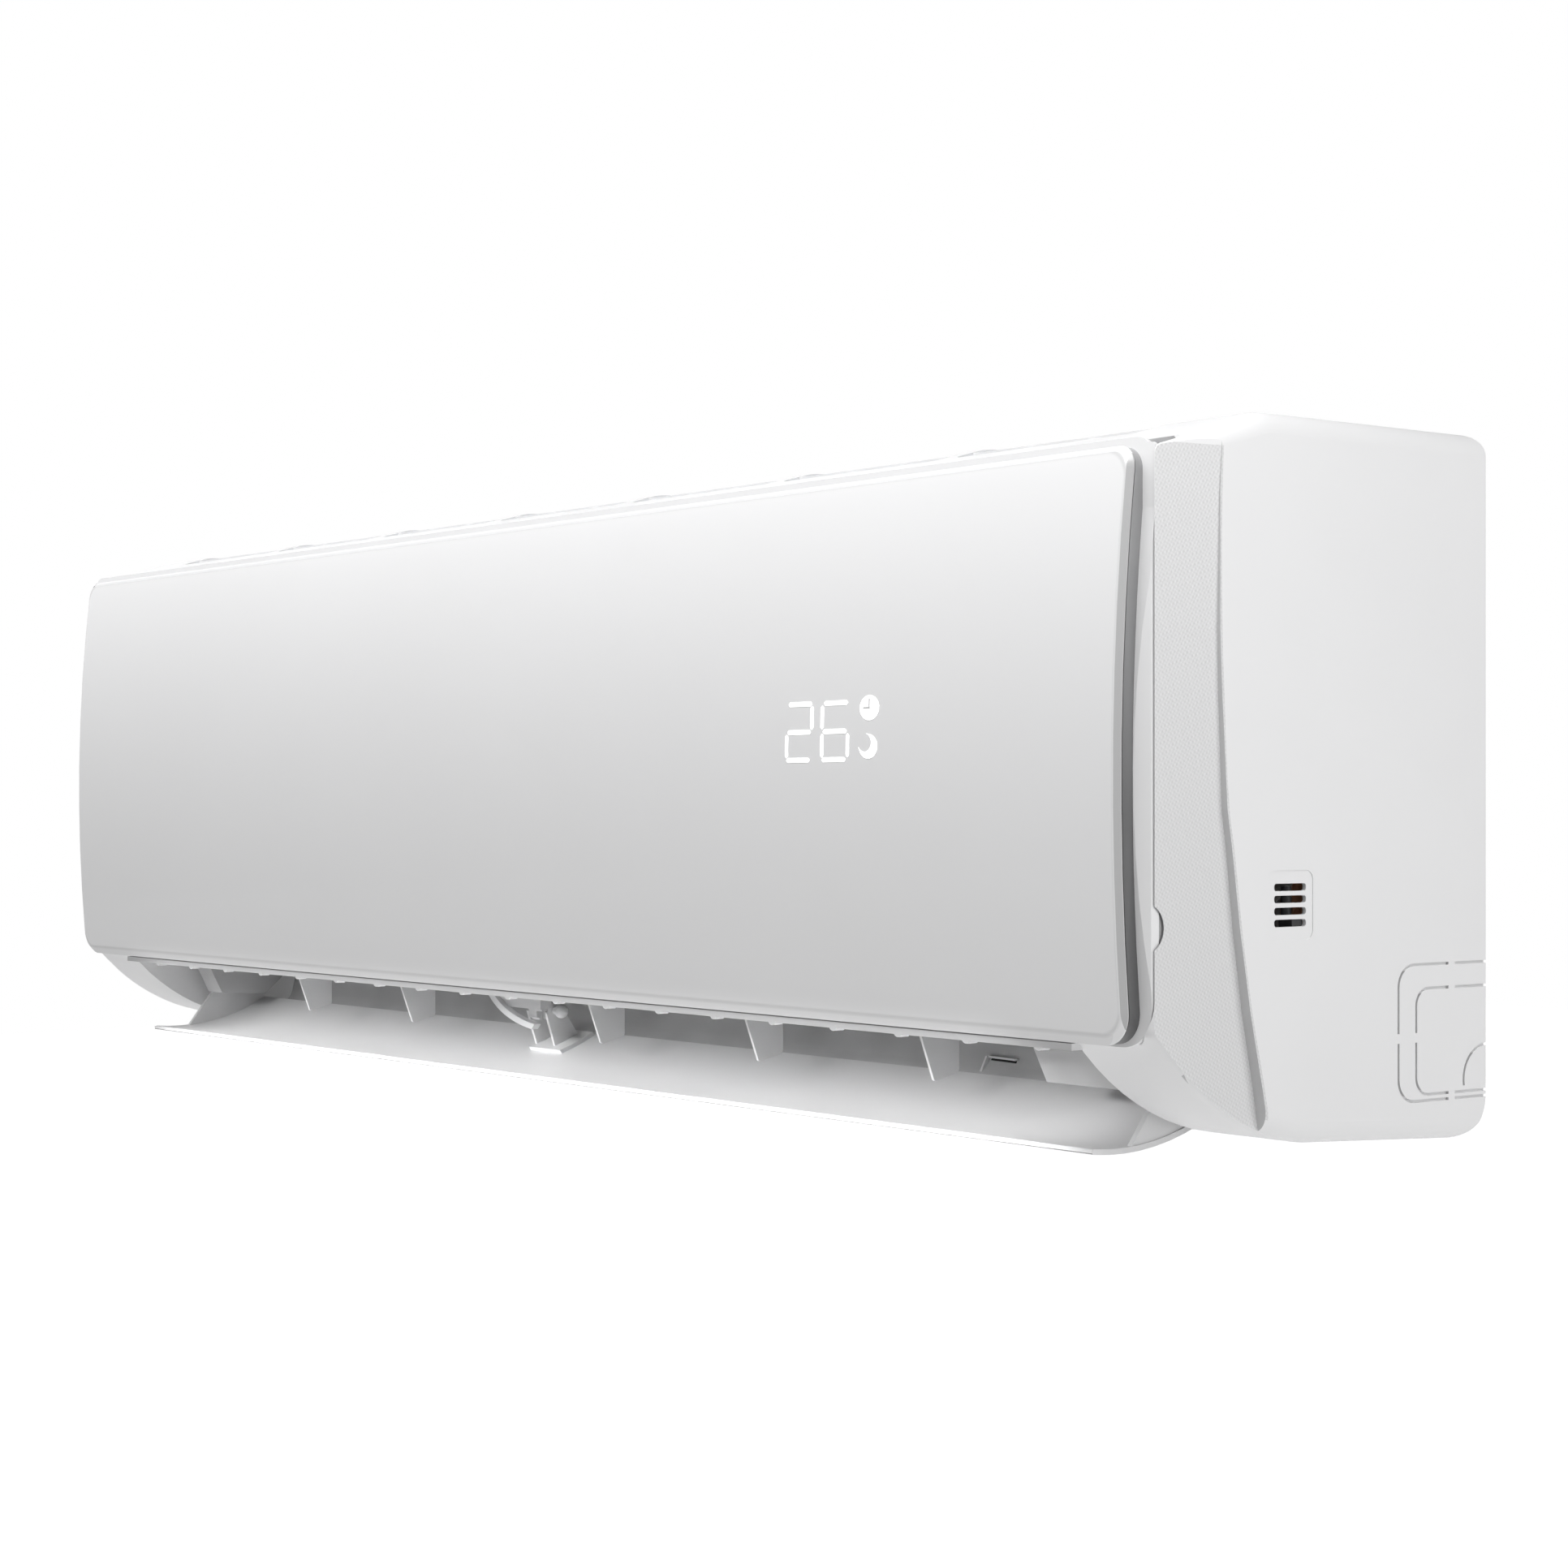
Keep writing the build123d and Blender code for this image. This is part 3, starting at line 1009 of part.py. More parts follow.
# ---- evaporator ---------------------------------------------------------------------------------
EVAP_LEFT = DUCT_LEFT + 16.0
EVAP_RIGHT = DUCT_RIGHT - 22.0
PACKS = {
    "lower": ((DEPTH - 47.0, 84.0), (DEPTH - 47.0, HEIGHT - 133.3)),
    "upper": ((DEPTH - 48.0, HEIGHT - 126.0), (DEPTH - 104.0, HEIGHT - 38.0)),
    "rear": ((DEPTH - 128.0, HEIGHT - 38.0), (DEPTH - 163.0, GUTTER_HEIGHT + 19.0)),
}
TUBE_PITCH = 19.0
ROW_GAP = 12.0


def pack_outline(name, thick, trim=0.0):
    """Side view of one fin pack, as a straight bar between its two ends."""
    (d0, z0), (d1, z1) = PACKS[name]
    run = math.hypot(d1 - d0, z1 - z0)
    ux, uy = (d1 - d0) / run, (z1 - z0) / run
    nx, ny = -uy * thick / 2, ux * thick / 2
    a = (d0 + ux * trim, z0 + uy * trim)
    b = (d1 - ux * trim, z1 - uy * trim)
    return slab([(a[0] + nx, a[1] + ny), (b[0] + nx, b[1] + ny), (b[0] - nx, b[1] - ny), (a[0] - nx, a[1] - ny)])


def tube_places(name):
    """Where the tubes cross one pack: pairs of rows, evenly spaced along it."""
    (d0, z0), (d1, z1) = PACKS[name]
    run = math.hypot(d1 - d0, z1 - z0)
    ux, uy = (d1 - d0) / run, (z1 - z0) / run
    count = 2 * round(run / TUBE_PITCH / 2)
    pitch = run / count
    rows = []
    for side in (-1, 1):
        offset_d, offset_z = -uy * side * ROW_GAP / 2, ux * side * ROW_GAP / 2
        steps = [(i + 0.5) * pitch for i in range(count)]
        rows.append([(d0 + ux * step + offset_d, z0 + uy * step + offset_z) for step in steps])
    return rows


def fin_pack(name):
    """One bank of fins with its two thin end plates."""
    shape = along_x(pack_outline(name, PACK_THICK), EVAP_LEFT + PLATE_THICK, EVAP_RIGHT - PLATE_THICK)
    for low in (EVAP_LEFT, EVAP_RIGHT - PLATE_THICK):
        shape += along_x(pack_outline(name, PACK_THICK + 3.0, 0.3), low, low + PLATE_THICK)
    return shape


def bend(a, b, x, side):
    """U-shaped bend from one tube to the next, standing out from an end plate."""
    middle = ((a[0] + b[0]) / 2, (a[1] + b[1]) / 2)
    radius = math.hypot(b[0] - a[0], b[1] - a[1]) / 2
    straight = x + side * 3.0
    path = Wire([
        Line((x, -a[0], a[1]), (straight, -a[0], a[1])),
        ThreePointArc((straight, -a[0], a[1]), (straight + side * radius, -middle[0], middle[1]),
                      (straight, -b[0], b[1])),
        Line((straight, -b[0], b[1]), (x, -b[0], b[1])),
    ])
    return sweep(Plane(origin=(x, -a[0], a[1]), z_dir=(side, 0, 0)) * Circle(TUBE_RADIUS), path=path)


def return_bends(side):
    """All the U-shaped bends on one end of the evaporator: along each row, and on the right end
    also from pack to pack and from row to row at the bottom."""
    x = EVAP_RIGHT if side > 0 else EVAP_LEFT
    bends = []
    for name in PACKS:
        for row in tube_places(name):
            first = 0 if side < 0 else 1
            for i in range(first, len(row) - 1, 2):
                bends.append(bend(row[i], row[i + 1], x, side))
    if side > 0:
        lower, upper, rear = (tube_places(name) for name in ("lower", "upper", "rear"))
        bends.append(bend(lower[0][0], lower[1][0], x, side))
        for row in (0, 1):
            bends.append(bend(lower[row][-1], upper[row][0], x, side))
            bends.append(bend(upper[row][-1], rear[row][0], x, side))
    return Compound(children=bends)


def piped(points, radius, bends):
    """Round tube along straight runs joined by arcs."""
    path = FilletPolyline(*[(x, -d, z) for x, d, z in points], radius=bends)
    start = path @ 0
    direction = path % 0
    return sweep(Plane(origin=start, z_dir=direction) * Circle(radius), path=path)


LIQUID_RADIUS = 3.2
SUCTION_RADIUS = 4.8
SLEEVE_RADIUS = 9.0
LIQUID_END = -END_X + 365.0
SUCTION_END = -END_X + 315.0
LIQUID_DEPTH = 22.0
SUCTION_DEPTH = 44.0
PIPE_HEIGHT = 40.0
LIQUID_DROP_X = DUCT_RIGHT + 32.0
SUCTION_DROP_X = DUCT_RIGHT + 56.0
CLAMP_X = END_X - 365.0
PIPE_BEND = 16.0


def line_points(start, drop_x, depth, end):
    """Route of a refrigerant line: right past the evaporator, back, down and along the channel."""
    d, z = start
    return [(EVAP_RIGHT, d, z), (drop_x, d, z), (drop_x, depth, z - 34), (drop_x, depth, PIPE_HEIGHT),
            (end, depth, PIPE_HEIGHT)]


def liquid_pipe():
    """Thin copper line."""
    start = tube_places("rear")[0][-1]
    return piped(line_points(start, LIQUID_DROP_X, LIQUID_DEPTH, LIQUID_END), LIQUID_RADIUS, PIPE_BEND)


def suction_points():
    """Route of the thick copper line."""
    return line_points(tube_places("rear")[1][-1], SUCTION_DROP_X, SUCTION_DEPTH, SUCTION_END)


def suction_pipe():
    """Thick copper line."""
    return piped(suction_points(), SUCTION_RADIUS, PIPE_BEND)


def pipe_sleeve():
    """Foam sleeve round the thick line where it lies in the channel."""
    low = SUCTION_END + 60
    high = SUCTION_DROP_X - PIPE_BEND - 8
    shape = rod_x(low, high, SUCTION_DEPTH, PIPE_HEIGHT, SLEEVE_RADIUS)
    return shape - rod_x(low - 1, high + 1, SUCTION_DEPTH, PIPE_HEIGHT, SUCTION_RADIUS + FIT)


def flare_nut(end, depth, pipe_radius, across, length):
    """Hexagonal nut on the end of a line, with its open threaded mouth."""
    hexagon = Pos(depth, PIPE_HEIGHT) * RegularPolygon(across / 2, 6, major_radius=False)
    shape = along_x(hexagon, end - length + 8, end + 8)
    shape -= rod_x(end - length, end + 9, depth, PIPE_HEIGHT, pipe_radius + FIT)
    return shape - rod_x(end - length, end - 1, depth, PIPE_HEIGHT, pipe_radius + 2.2)


def flare_nuts():
    """Both nuts."""
    return Compound(children=[
        flare_nut(LIQUID_END, LIQUID_DEPTH, LIQUID_RADIUS, 17.0, 18.0),
        flare_nut(SUCTION_END, SUCTION_DEPTH, SUCTION_RADIUS, 22.0, 20.0),
    ])


def pipe_clamp():
    """Bracket that ties both lines down in the channel."""
    x = CLAMP_X
    near = LIQUID_DEPTH - 10
    far = SUCTION_DEPTH + SLEEVE_RADIUS + 5
    top = PIPE_HEIGHT + SLEEVE_RADIUS + 3
    plate = rounded([(near, PIPE_HEIGHT - 6), (near, top), (far, top), (far, PIPE_HEIGHT - 6)], [2, 5, 5, 2])
    plate -= Pos(LIQUID_DEPTH, PIPE_HEIGHT) * Circle(LIQUID_RADIUS + FIT)
    plate -= Pos(SUCTION_DEPTH, PIPE_HEIGHT) * Circle(SLEEVE_RADIUS + FIT)
    shape = along_x(plate, x - 9, x + 9)
    return shape + box((x - 9, x + 9), (near, near + 6), (4.2, PIPE_HEIGHT - 5))


# ---- drip tray ----------------------------------------------------------------------------------
TRAY_HALF = OUTLET_HALF - 6.0
SPOUT_X = OUTLET_HALF + 15.0
SPOUT_RADIUS = 8.0
SPOUT_DEPTH = 62.0
SPOUT_HEIGHT = 70.0
HOSE_WAY = SPOUT_RADIUS + 5.0


def tray_outline():
    """Side view of the tray: the outlet's ceiling below, the water channel above."""
    return slab([
        CEILING[0], CEILING[1], CEILING[2],
        (TRAY_FRONT, CEILING[2][1] + 1.2),
        (TRAY_FRONT, 88),
        (TRAY_FRONT - 2.2, 88),
        (TRAY_FRONT - 2.2, 67),
        (TRAY_FRONT - 8, 66),
        (DEPTH - 55, 74.5),
        (DEPTH - 62.5, 82),
        (CEILING[0][0] + 3.2, CEILING[0][1] + 0.6),
    ])


def drip_tray():
    """Front tray with its two ends and their spouts."""
    shape = along_x(tray_outline(), -TRAY_HALF, TRAY_HALF)
    for x in CASING_SCREWS:
        shape -= rod_out(x, SCREW_HEIGHT, TRAY_FRONT - 2, TRAY_FRONT + 1, SCREW_RADIUS + 0.02)
    for side in (-1, 1):
        low, high = (TRAY_HALF, SPOUT_X + 12) if side > 0 else (-SPOUT_X - 12, -TRAY_HALF)
        basin = box((low, high), (DEPTH - 60, TRAY_FRONT), (61.5, 82))
        wide = (low, high - 2.2) if side > 0 else (low + 2.2, high)
        basin -= box(wide, (DEPTH - 57.8, TRAY_FRONT - 2.2), (64, 90))
        shape += basin
        near = TRAY_HALF - 2 if side > 0 else -TRAY_HALF
        shape -= box((near - 1, near + 3), (DEPTH - 45, TRAY_FRONT - 2.2), (67, 90))
        rest = EVAP_RIGHT - 14 if side > 0 else EVAP_LEFT + 2
        shape += box((rest, rest + 12), (DEPTH - 52, DEPTH - 38), (64, PACKS["lower"][0][1]))
        spout = Pos(side * SPOUT_X, SPOUT_HEIGHT) * Circle(SPOUT_RADIUS)
        shape += outward(spout, SPOUT_DEPTH, DEPTH - 59)
        bore = Pos(side * SPOUT_X, SPOUT_HEIGHT + 0.2) * Circle(SPOUT_RADIUS - 1.8)
        shape -= outward(bore, SPOUT_DEPTH - 1, DEPTH - 57)
    return shape


def drain_plug():
    """Rubber plug in the unused right spout."""
    shape = rod_out(SPOUT_X, SPOUT_HEIGHT + 0.2, SPOUT_DEPTH, SPOUT_DEPTH + 16, SPOUT_RADIUS - 1.8)
    return shape + rod_out(SPOUT_X, SPOUT_HEIGHT, SPOUT_DEPTH - 3, SPOUT_DEPTH, SPOUT_RADIUS + 0.6)


def duct_end(side):
    """Foam block that closes one end of the outlet between the duct and the louver's arm."""
    outline = slab([
        (HINGE_D + 28.5, HINGE_HEIGHT + 8.5),
        (HINGE_D + 20.5, HINGE_HEIGHT - 7),
        (HINGE_D - 10, HINGE_HEIGHT - 8.5),
        (HINGE_D - 21, HINGE_HEIGHT + 1),
        (HINGE_D - 27, HINGE_HEIGHT + 8),
        (HINGE_D - 46, HINGE_HEIGHT + 30),
        (HINGE_D - 46, HINGE_HEIGHT + 48),
        (CEILING[1][0] - 10, CEILING[1][1] - 2),
        (CEILING[1][0], CEILING[1][1] - 1),
        (CEILING[1][0] + 18, ceiling_height(CEILING[1][0] + 18) - 1),
        (CEILING[1][0] + 14, 56),
    ])
    if side > 0:
        return along_x(outline, DUCT_RIGHT + DUCT_WALL + 0.1, BLOCK_END)
    return along_x(outline, -BLOCK_END, DUCT_LEFT - DUCT_WALL - 0.1)


# ---- air filters --------------------------------------------------------------------------------
FILTER_THICK = 2.0
FILTER_NET = 0.6
FILTER_PATH = (
    (SEAT - WALL - 0.4, 74.0),
    (SEAT - WALL - 0.4, HEIGHT - 42.0),
    (DEPTH - 28.5, HEIGHT - 27.0),
    (DEPTH - 47.0, HEIGHT - 16.5),
    (DEPTH - 71.0, HEIGHT - 12.5),
    (26.0, HEIGHT - 11.0),
)
FILTER_BENDS = [0, 20, 25, 25, 40, 0]
FILTER_RIB_PITCH = 66.0


def air_filter(low, high):
    """Bendable filter: net with a frame, ribs across it and a finger tab."""
    wide = band(FILTER_PATH, FILTER_THICK, FILTER_BENDS)
    inner_path, inner_bends = beside(FILTER_PATH, (FILTER_THICK - FILTER_NET) / 2, FILTER_BENDS)
    net = band(inner_path, FILTER_NET, inner_bends)
    shape = along_x(net, low + 1, high - 1)
    count = round((high - low) / FILTER_RIB_PITCH)
    for i in range(count + 1):
        half = 3.5 if i in (0, count) else 1.5
        x = min(max(low + i * (high - low) / count, low + half), high - half)
        shape += along_x(wide, x - half, x + half)
    rise = FILTER_PATH[1][1] - FILTER_PATH[0][1] - 14
    for i in range(4):
        z = FILTER_PATH[0][1] + 0.5 + i * rise / 3
        shape += box((low, high), (FILTER_PATH[0][0] - FILTER_THICK + 0.1, FILTER_PATH[0][0] - 0.1), (z, z + 4))
    run = FILTER_PATH[4][0] - 61
    for d in (27.0, 27 + run / 2, 27 + run):
        share = (FILTER_PATH[4][0] - d) / (FILTER_PATH[4][0] - FILTER_PATH[5][0])
        top = FILTER_PATH[4][1] + share * (FILTER_PATH[5][1] - FILTER_PATH[4][1])
        shape += box((low, high), (d, d + 4), (top - FILTER_THICK + 0.2, top - 0.2))
    middle = (low + high) / 2
    shape += box((middle - 20, middle + 20), (FILTER_PATH[0][0] - 1, SEAT - 0.5), (80, 83))
    return shape


# ---- electronics --------------------------------------------------------------------------------
BOX_DEPTH = (DEPTH - 66.0, SEAT - WALL)
BOX_HEIGHT = (97.0, HEIGHT - 40.0)
BOX_WALL = 2.0
BOARD_DEPTH = BOX_DEPTH[0] + 9.0
BOARD_FACE = BOARD_DEPTH + 1.6
BUTTON_RADIUS = 4.0
BUTTON_TRAVEL = 1.6


def control_box():
    """Open-fronted flame-proof box for the electronics."""
    x0, x1 = BOX_X
    d0, d1 = BOX_DEPTH
    z0, z1 = BOX_HEIGHT
    shape = box((x0, x1), (d0, d1 - 2.2), (z0, z1))
    shape -= box((x0 + BOX_WALL, x1 - BOX_WALL), (d0 + BOX_WALL, d1 + 1), (z0 + BOX_WALL, z1 - BOX_WALL))
    for x in (x0 + 8, x1 - 8):
        for z in (z0 + 12, z1 - 12):
            post = rod_out(x, z, d0 + 1, BOARD_DEPTH, 3.2)
            shape += post
    return shape - box((x0 - 1, x0 + 3), (d0 + 12, d0 + 26), (z0 + 20, z0 + 34))


def control_cover():
    """Lid of the electronics box, with the hole for the emergency button."""
    x0, x1 = BOX_X
    z0, z1 = BOX_HEIGHT
    shape = box((x0, x1), (BOX_DEPTH[1] - 2.2, BOX_DEPTH[1]), (z0, z1))
    return shape - rod_out(BUTTON_X, BUTTON_HEIGHT, BOX_DEPTH[1] - 9, BOX_DEPTH[1] + 1, BUTTON_RADIUS + 0.4)


def main_board():
    """Printed board of the electronics."""
    x0, x1 = BOX_X
    z0, z1 = BOX_HEIGHT
    return box((x0 + 3, x1 - 3), (BOARD_DEPTH, BOARD_DEPTH + 1.6), (z0 + 3, z1 - 3))


def board_parts():
    """Relay, capacitors, transformer, connectors and push switch on the main board."""
    x0 = BOX_X[0]
    z0, z1 = BOX_HEIGHT
    rise = (z1 - z0) / 163
    relay, transformer, chip, capacitors, plugs = (z0 + step * rise for step in (60, 84, 100, 68, 140))
    pieces = [
        box((x0 + 12, x0 + 30), (BOARD_FACE, BOARD_FACE + 15), (relay, relay + 22)),
        box((x0 + 46, x0 + 82), (BOARD_FACE, BOARD_FACE + 24), (transformer, transformer + 32)),
        box((x0 + 12, x0 + 36), (BOARD_FACE, BOARD_FACE + 5), (chip, chip + 24)),
        box((BUTTON_X - 4, BUTTON_X + 4), (BOARD_FACE, BOARD_FACE + 4), (BUTTON_HEIGHT - 4, BUTTON_HEIGHT + 4)),
    ]
    for i in range(3):
        pieces.append(rod_out(x0 + 46 + i * 15, capacitors, BOARD_FACE, BOARD_FACE + 22, 6.0))
    for i in range(4):
        pieces.append(box((x0 + 14 + i * 17, x0 + 27 + i * 17), (BOARD_FACE, BOARD_FACE + 8), (plugs, plugs + 6)))
    return Compound(children=pieces)


def terminal_block():
    """Screw terminal block for the mains and the outdoor unit, below the parts on the board."""
    face = BOARD_FACE
    x0 = BOX_X[0] + 48
    z0 = BOX_HEIGHT[0] + 8
    shape = box((x0, x0 + 42), (face, face + 14), (z0, z0 + 24))
    for i in range(4):
        x = x0 + 6 + i * 10
        shape -= rod_out(x, z0 + 16, face + 9, face + 15, 3.2)
        shape -= box((x - 3, x + 3), (face + 5, face + 15), (z0 - 1, z0 + 6))
    return shape


def emergency_button():
    """Small push button that reaches through the lid to the switch on the board."""
    front = BOX_DEPTH[1] + 2.2
    shape = rod_out(BUTTON_X, BUTTON_HEIGHT, BOX_DEPTH[1] - 4.2, front, BUTTON_RADIUS)
    shape += rod_out(BUTTON_X, BUTTON_HEIGHT, BOX_DEPTH[1] - 4.4, BOX_DEPTH[1] - 2.3, BUTTON_RADIUS + 1.6)
    low = BOARD_FACE + 4 + BUTTON_TRAVEL + 0.3
    return shape + rod_out(BUTTON_X, BUTTON_HEIGHT, low, BOX_DEPTH[1] - 4.2, 1.5)


SPRING_RADIUS = 3.2
SPRING_WIRE = 0.35
SPRING_TURNS = 9


def button_spring():
    """Coil spring that pushes the button out."""
    low = BOARD_FACE + 4 + SPRING_WIRE + 0.05
    high = BOX_DEPTH[1] - 4.4 - SPRING_WIRE - 0.05
    path = Helix(pitch=(high - low) / SPRING_TURNS, height=high - low, radius=SPRING_RADIUS)
    coil = sweep(Plane(origin=path @ 0, z_dir=path % 0) * Circle(SPRING_WIRE), path=path)
    return Pos(BUTTON_X, -low, BUTTON_HEIGHT) * Rot(90, 0, 0) * coil


DISPLAY_X = (END_X - 231.0, END_X - 147.0)
DISPLAY_HEIGHT = (DISPLAY_LOW, DISPLAY_LOW + DISPLAY_RISE)
DISPLAY_BOARD_DEPTH = DEPTH - 9.0


def display_board():
    """Board with the lamps of the display, in the panel."""
    shape = box(DISPLAY_X, (DISPLAY_BOARD_DEPTH - 1.6, DISPLAY_BOARD_DEPTH), DISPLAY_HEIGHT)
    middle = sum(DISPLAY_X) / 2
    return shape + box((middle - 12, middle + 12), (DISPLAY_BOARD_DEPTH - 4.6, DISPLAY_BOARD_DEPTH - 1.6),
                       (DISPLAY_HEIGHT[0] + 6, DISPLAY_HEIGHT[0] + 14))


def display_housing():
    """Walled frame between the display board and the skin that keeps the lights apart."""
    shape = box(DISPLAY_X, (DISPLAY_BOARD_DEPTH, DEPTH), DISPLAY_HEIGHT)
    x0, x1 = DISPLAY_X
    for low, high in ((x0 + 2, x0 + 31.5), (x0 + 33, x0 + 57), (x0 + 58.5, x1 - 2)):
        shape -= box((low, high), (DISPLAY_BOARD_DEPTH - 1, DEPTH + 1), (DISPLAY_HEIGHT[0] + 2, DISPLAY_HEIGHT[1] - 2))
    return shape & bow_space(DEPTH - SKIN_THICK - FIT)


def room_sensor():
    """Air sensor bead in its clip behind the vent slots."""
    x = END_X - WALL - 6.0
    d = DEPTH - 91.0
    shape = rod_up(x, d, 97.0, 110.0, 2.2)
    return shape + box((x - 1.2, x + 6.0), (d - 3, d + 3), (92.0, 98.0))


def pipe_sensor():
    """Copper-cased sensor clipped on a return bend at the evaporator's right end."""
    d, z = tube_places("rear")[1][-1]
    return rod_x(EVAP_RIGHT + 4, EVAP_RIGHT + 28, d + SUCTION_RADIUS + 3.05, z, 3.0)


# ---- small parts --------------------------------------------------------------------------------
def casing_screws():
    """Screws that hold the casing to the tray, hidden by the panel."""
    length = SEAT - TRAY_FRONT + 1.5
    return Compound(children=[pan_screw(x, SCREW_HEIGHT, SEAT, length, SCREW_RADIUS) for x in CASING_SCREWS])


def panel_latch():
    """Sprung catch pairs at the panel's lower edge."""
    pieces = []
    for x in LATCH_PLACES:
        hook = slab([(SEAT - 6, PANEL_LOW + 9), (PANEL_BACK, PANEL_LOW + 9), (PANEL_BACK, PANEL_LOW + 12),
                     (SEAT - 3.0, PANEL_LOW + 12), (SEAT - 5, PANEL_LOW + 13.5), (SEAT - 7.5, PANEL_LOW + 12)])
        pieces.append(along_x(hook, x - 4, x + 4))
    return Compound(children=pieces)


def wall_plate():
    """Steel plate that is screwed to the wall, with raised ribs, hooks at the top and catches below."""
    half = PLATE_LENGTH / 2
    outline = rounded([(-half, PLATE_LOW), (half, PLATE_LOW), (half, PLATE_HIGH), (-half, PLATE_HIGH)], 8)
    shape = outward(outline, 0, SHEET_STEEL)
    rise = PLATE_HIGH - PLATE_LOW
    for z in (ORIGIN_HEIGHT - 0.27 * rise, ORIGIN_HEIGHT + 0.27 * rise):
        rib = rounded([(-half + 60, z - 7), (half - 60, z - 7), (half - 60, z + 7), (-half + 60, z + 7)], 6.5)
        shape += outward(rib, 0, PLATE_DISH)
        groove = rounded([(-half + 62, z - 5), (half - 62, z - 5), (half - 62, z + 5), (-half + 62, z + 5)], 4.5)
        shape -= outward(groove, -1, PLATE_DISH - SHEET_STEEL)
    for sx in (-1, 1):
        for sz in (-1, 1):
            x = sx * PLATE_HOLE_SPAN_X / 2
            z = ORIGIN_HEIGHT + sz * PLATE_HOLE_SPAN_Z / 2
            shape -= rod_out(x, z, -1, 9, PLATE_HOLE_R)
    for share in (-0.375, -0.1875, 0.1875, 0.375):
        for z in (ORIGIN_HEIGHT - 0.125 * rise, ORIGIN_HEIGHT + 0.125 * rise):
            slot = Pos(share * PLATE_HOLE_SPAN_X, z) * SlotOverall(PLATE_SLOT_LENGTH, 2 * PLATE_HOLE_R)
            shape -= outward(slot, -1, 9)
    for x in HOOK_PLACES:
        shape += box((x - 14, x + 14), (SHEET_STEEL - 0.5, BACK_LOW + BACK_THICK + 2.6),
                     (HOOK_HEIGHT - 2.0, HOOK_HEIGHT))
        shape += box((x - 14, x + 14), (BACK_LOW + BACK_THICK + 0.8, BACK_LOW + BACK_THICK + 2.6),
                     (HOOK_HEIGHT - 2.0, HOOK_HEIGHT + 6.0))
    return shape


# ---- writing out --------------------------------------------------------------------------------
def nodes():
    """Every piece by name."""
    pieces = {
        "wall_plate": wall_plate(),
        "rear_chassis": rear_chassis(),
        "front_casing": front_casing(),
        "casing_screws": casing_screws(),
        "front_panel": front_panel(),
        "panel_frame": panel_frame(),
        "panel_trim": panel_trim(),
        "panel_latches": panel_latch(),
        "display_board": display_board(),
        "display_housing": display_housing(),
        "louver": louver(),
        "louver_drive_shaft": louver_drive_shaft(),
        "louver_bush": louver_bush(),
        "louver_stepper": louver_stepper(),
        "louver_bracket": louver_bracket(),
        "vane_rail": vane_rail(),
        "duct_end_left": duct_end(-1),
        "duct_end_right": duct_end(1),
        "drip_tray": drip_tray(),
        "drain_plug": drain_plug(),
        "fan_wheel": fan_wheel(),
        "fan_axle": fan_axle(),
        "fan_set_screw": fan_set_screw(),
        "motor_shaft": motor_shaft(),
        "fan_bearing": fan_bearing(),
        "bearing_holder": bearing_holder(),
        "fan_motor": fan_motor(),
        "motor_rubbers": motor_rubbers(),
        "motor_clamp": motor_clamp(),
        "motor_screws": motor_screws(),
        "return_bends_left": return_bends(-1),
        "return_bends_right": return_bends(1),
        "liquid_pipe": liquid_pipe(),
        "suction_pipe": suction_pipe(),
        "pipe_sleeve": pipe_sleeve(),
        "flare_nuts": flare_nuts(),
        "pipe_clamp": pipe_clamp(),
        "filter_left": air_filter(WINDOW_LEFT + 4, -FILTER_SPLIT + 2),
        "filter_right": air_filter(FILTER_SPLIT - 2, WINDOW_RIGHT - 4),
        "control_box": control_box(),
        "control_cover": control_cover(),
        "main_board": main_board(),
        "board_parts": board_parts(),
        "terminal_block": terminal_block(),
        "emergency_button": emergency_button(),
        "button_spring": button_spring(),
        "room_sensor": room_sensor(),
        "pipe_sensor": pipe_sensor(),
    }
    for name in PACKS:
        pieces[f"fin_pack_{name}"] = fin_pack(name)
    for group, places in VANE_GROUPS.items():
        for number, x in enumerate(places, 1):
            pieces[f"vane_{group}_{number}"] = vane(x)
        pieces[f"vane_link_{group}"] = vane_link(places, places[0])
    return pieces


def main():
    os.makedirs("parts", exist_ok=True)
    for name, shape in nodes().items():
        placed = Pos(0, 0, -ORIGIN_HEIGHT) * shape
        export_step(placed, f"parts/{name}.step")


main()
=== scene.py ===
"""Looks of a wall-hung indoor unit of a split air conditioner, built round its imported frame."""
import json
import math
import bmesh
import bpy
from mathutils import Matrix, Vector


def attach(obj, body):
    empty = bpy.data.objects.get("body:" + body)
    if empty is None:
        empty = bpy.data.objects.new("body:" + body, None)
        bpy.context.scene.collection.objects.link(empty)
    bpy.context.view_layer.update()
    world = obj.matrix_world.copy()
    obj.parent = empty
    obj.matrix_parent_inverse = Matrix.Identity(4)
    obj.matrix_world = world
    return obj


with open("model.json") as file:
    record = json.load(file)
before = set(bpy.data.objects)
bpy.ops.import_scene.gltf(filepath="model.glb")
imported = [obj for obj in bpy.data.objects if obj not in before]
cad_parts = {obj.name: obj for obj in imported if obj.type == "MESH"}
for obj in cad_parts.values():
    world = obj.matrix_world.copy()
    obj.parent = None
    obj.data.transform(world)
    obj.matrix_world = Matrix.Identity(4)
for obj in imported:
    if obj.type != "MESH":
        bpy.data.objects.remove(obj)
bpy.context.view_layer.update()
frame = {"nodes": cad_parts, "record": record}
MM = 0.001
BASE = 0.170            # the frame's origin lies this high above the level that heights start from
DEPTH = 0.205           # from the wall to the front of the unit
HEIGHT = 0.300


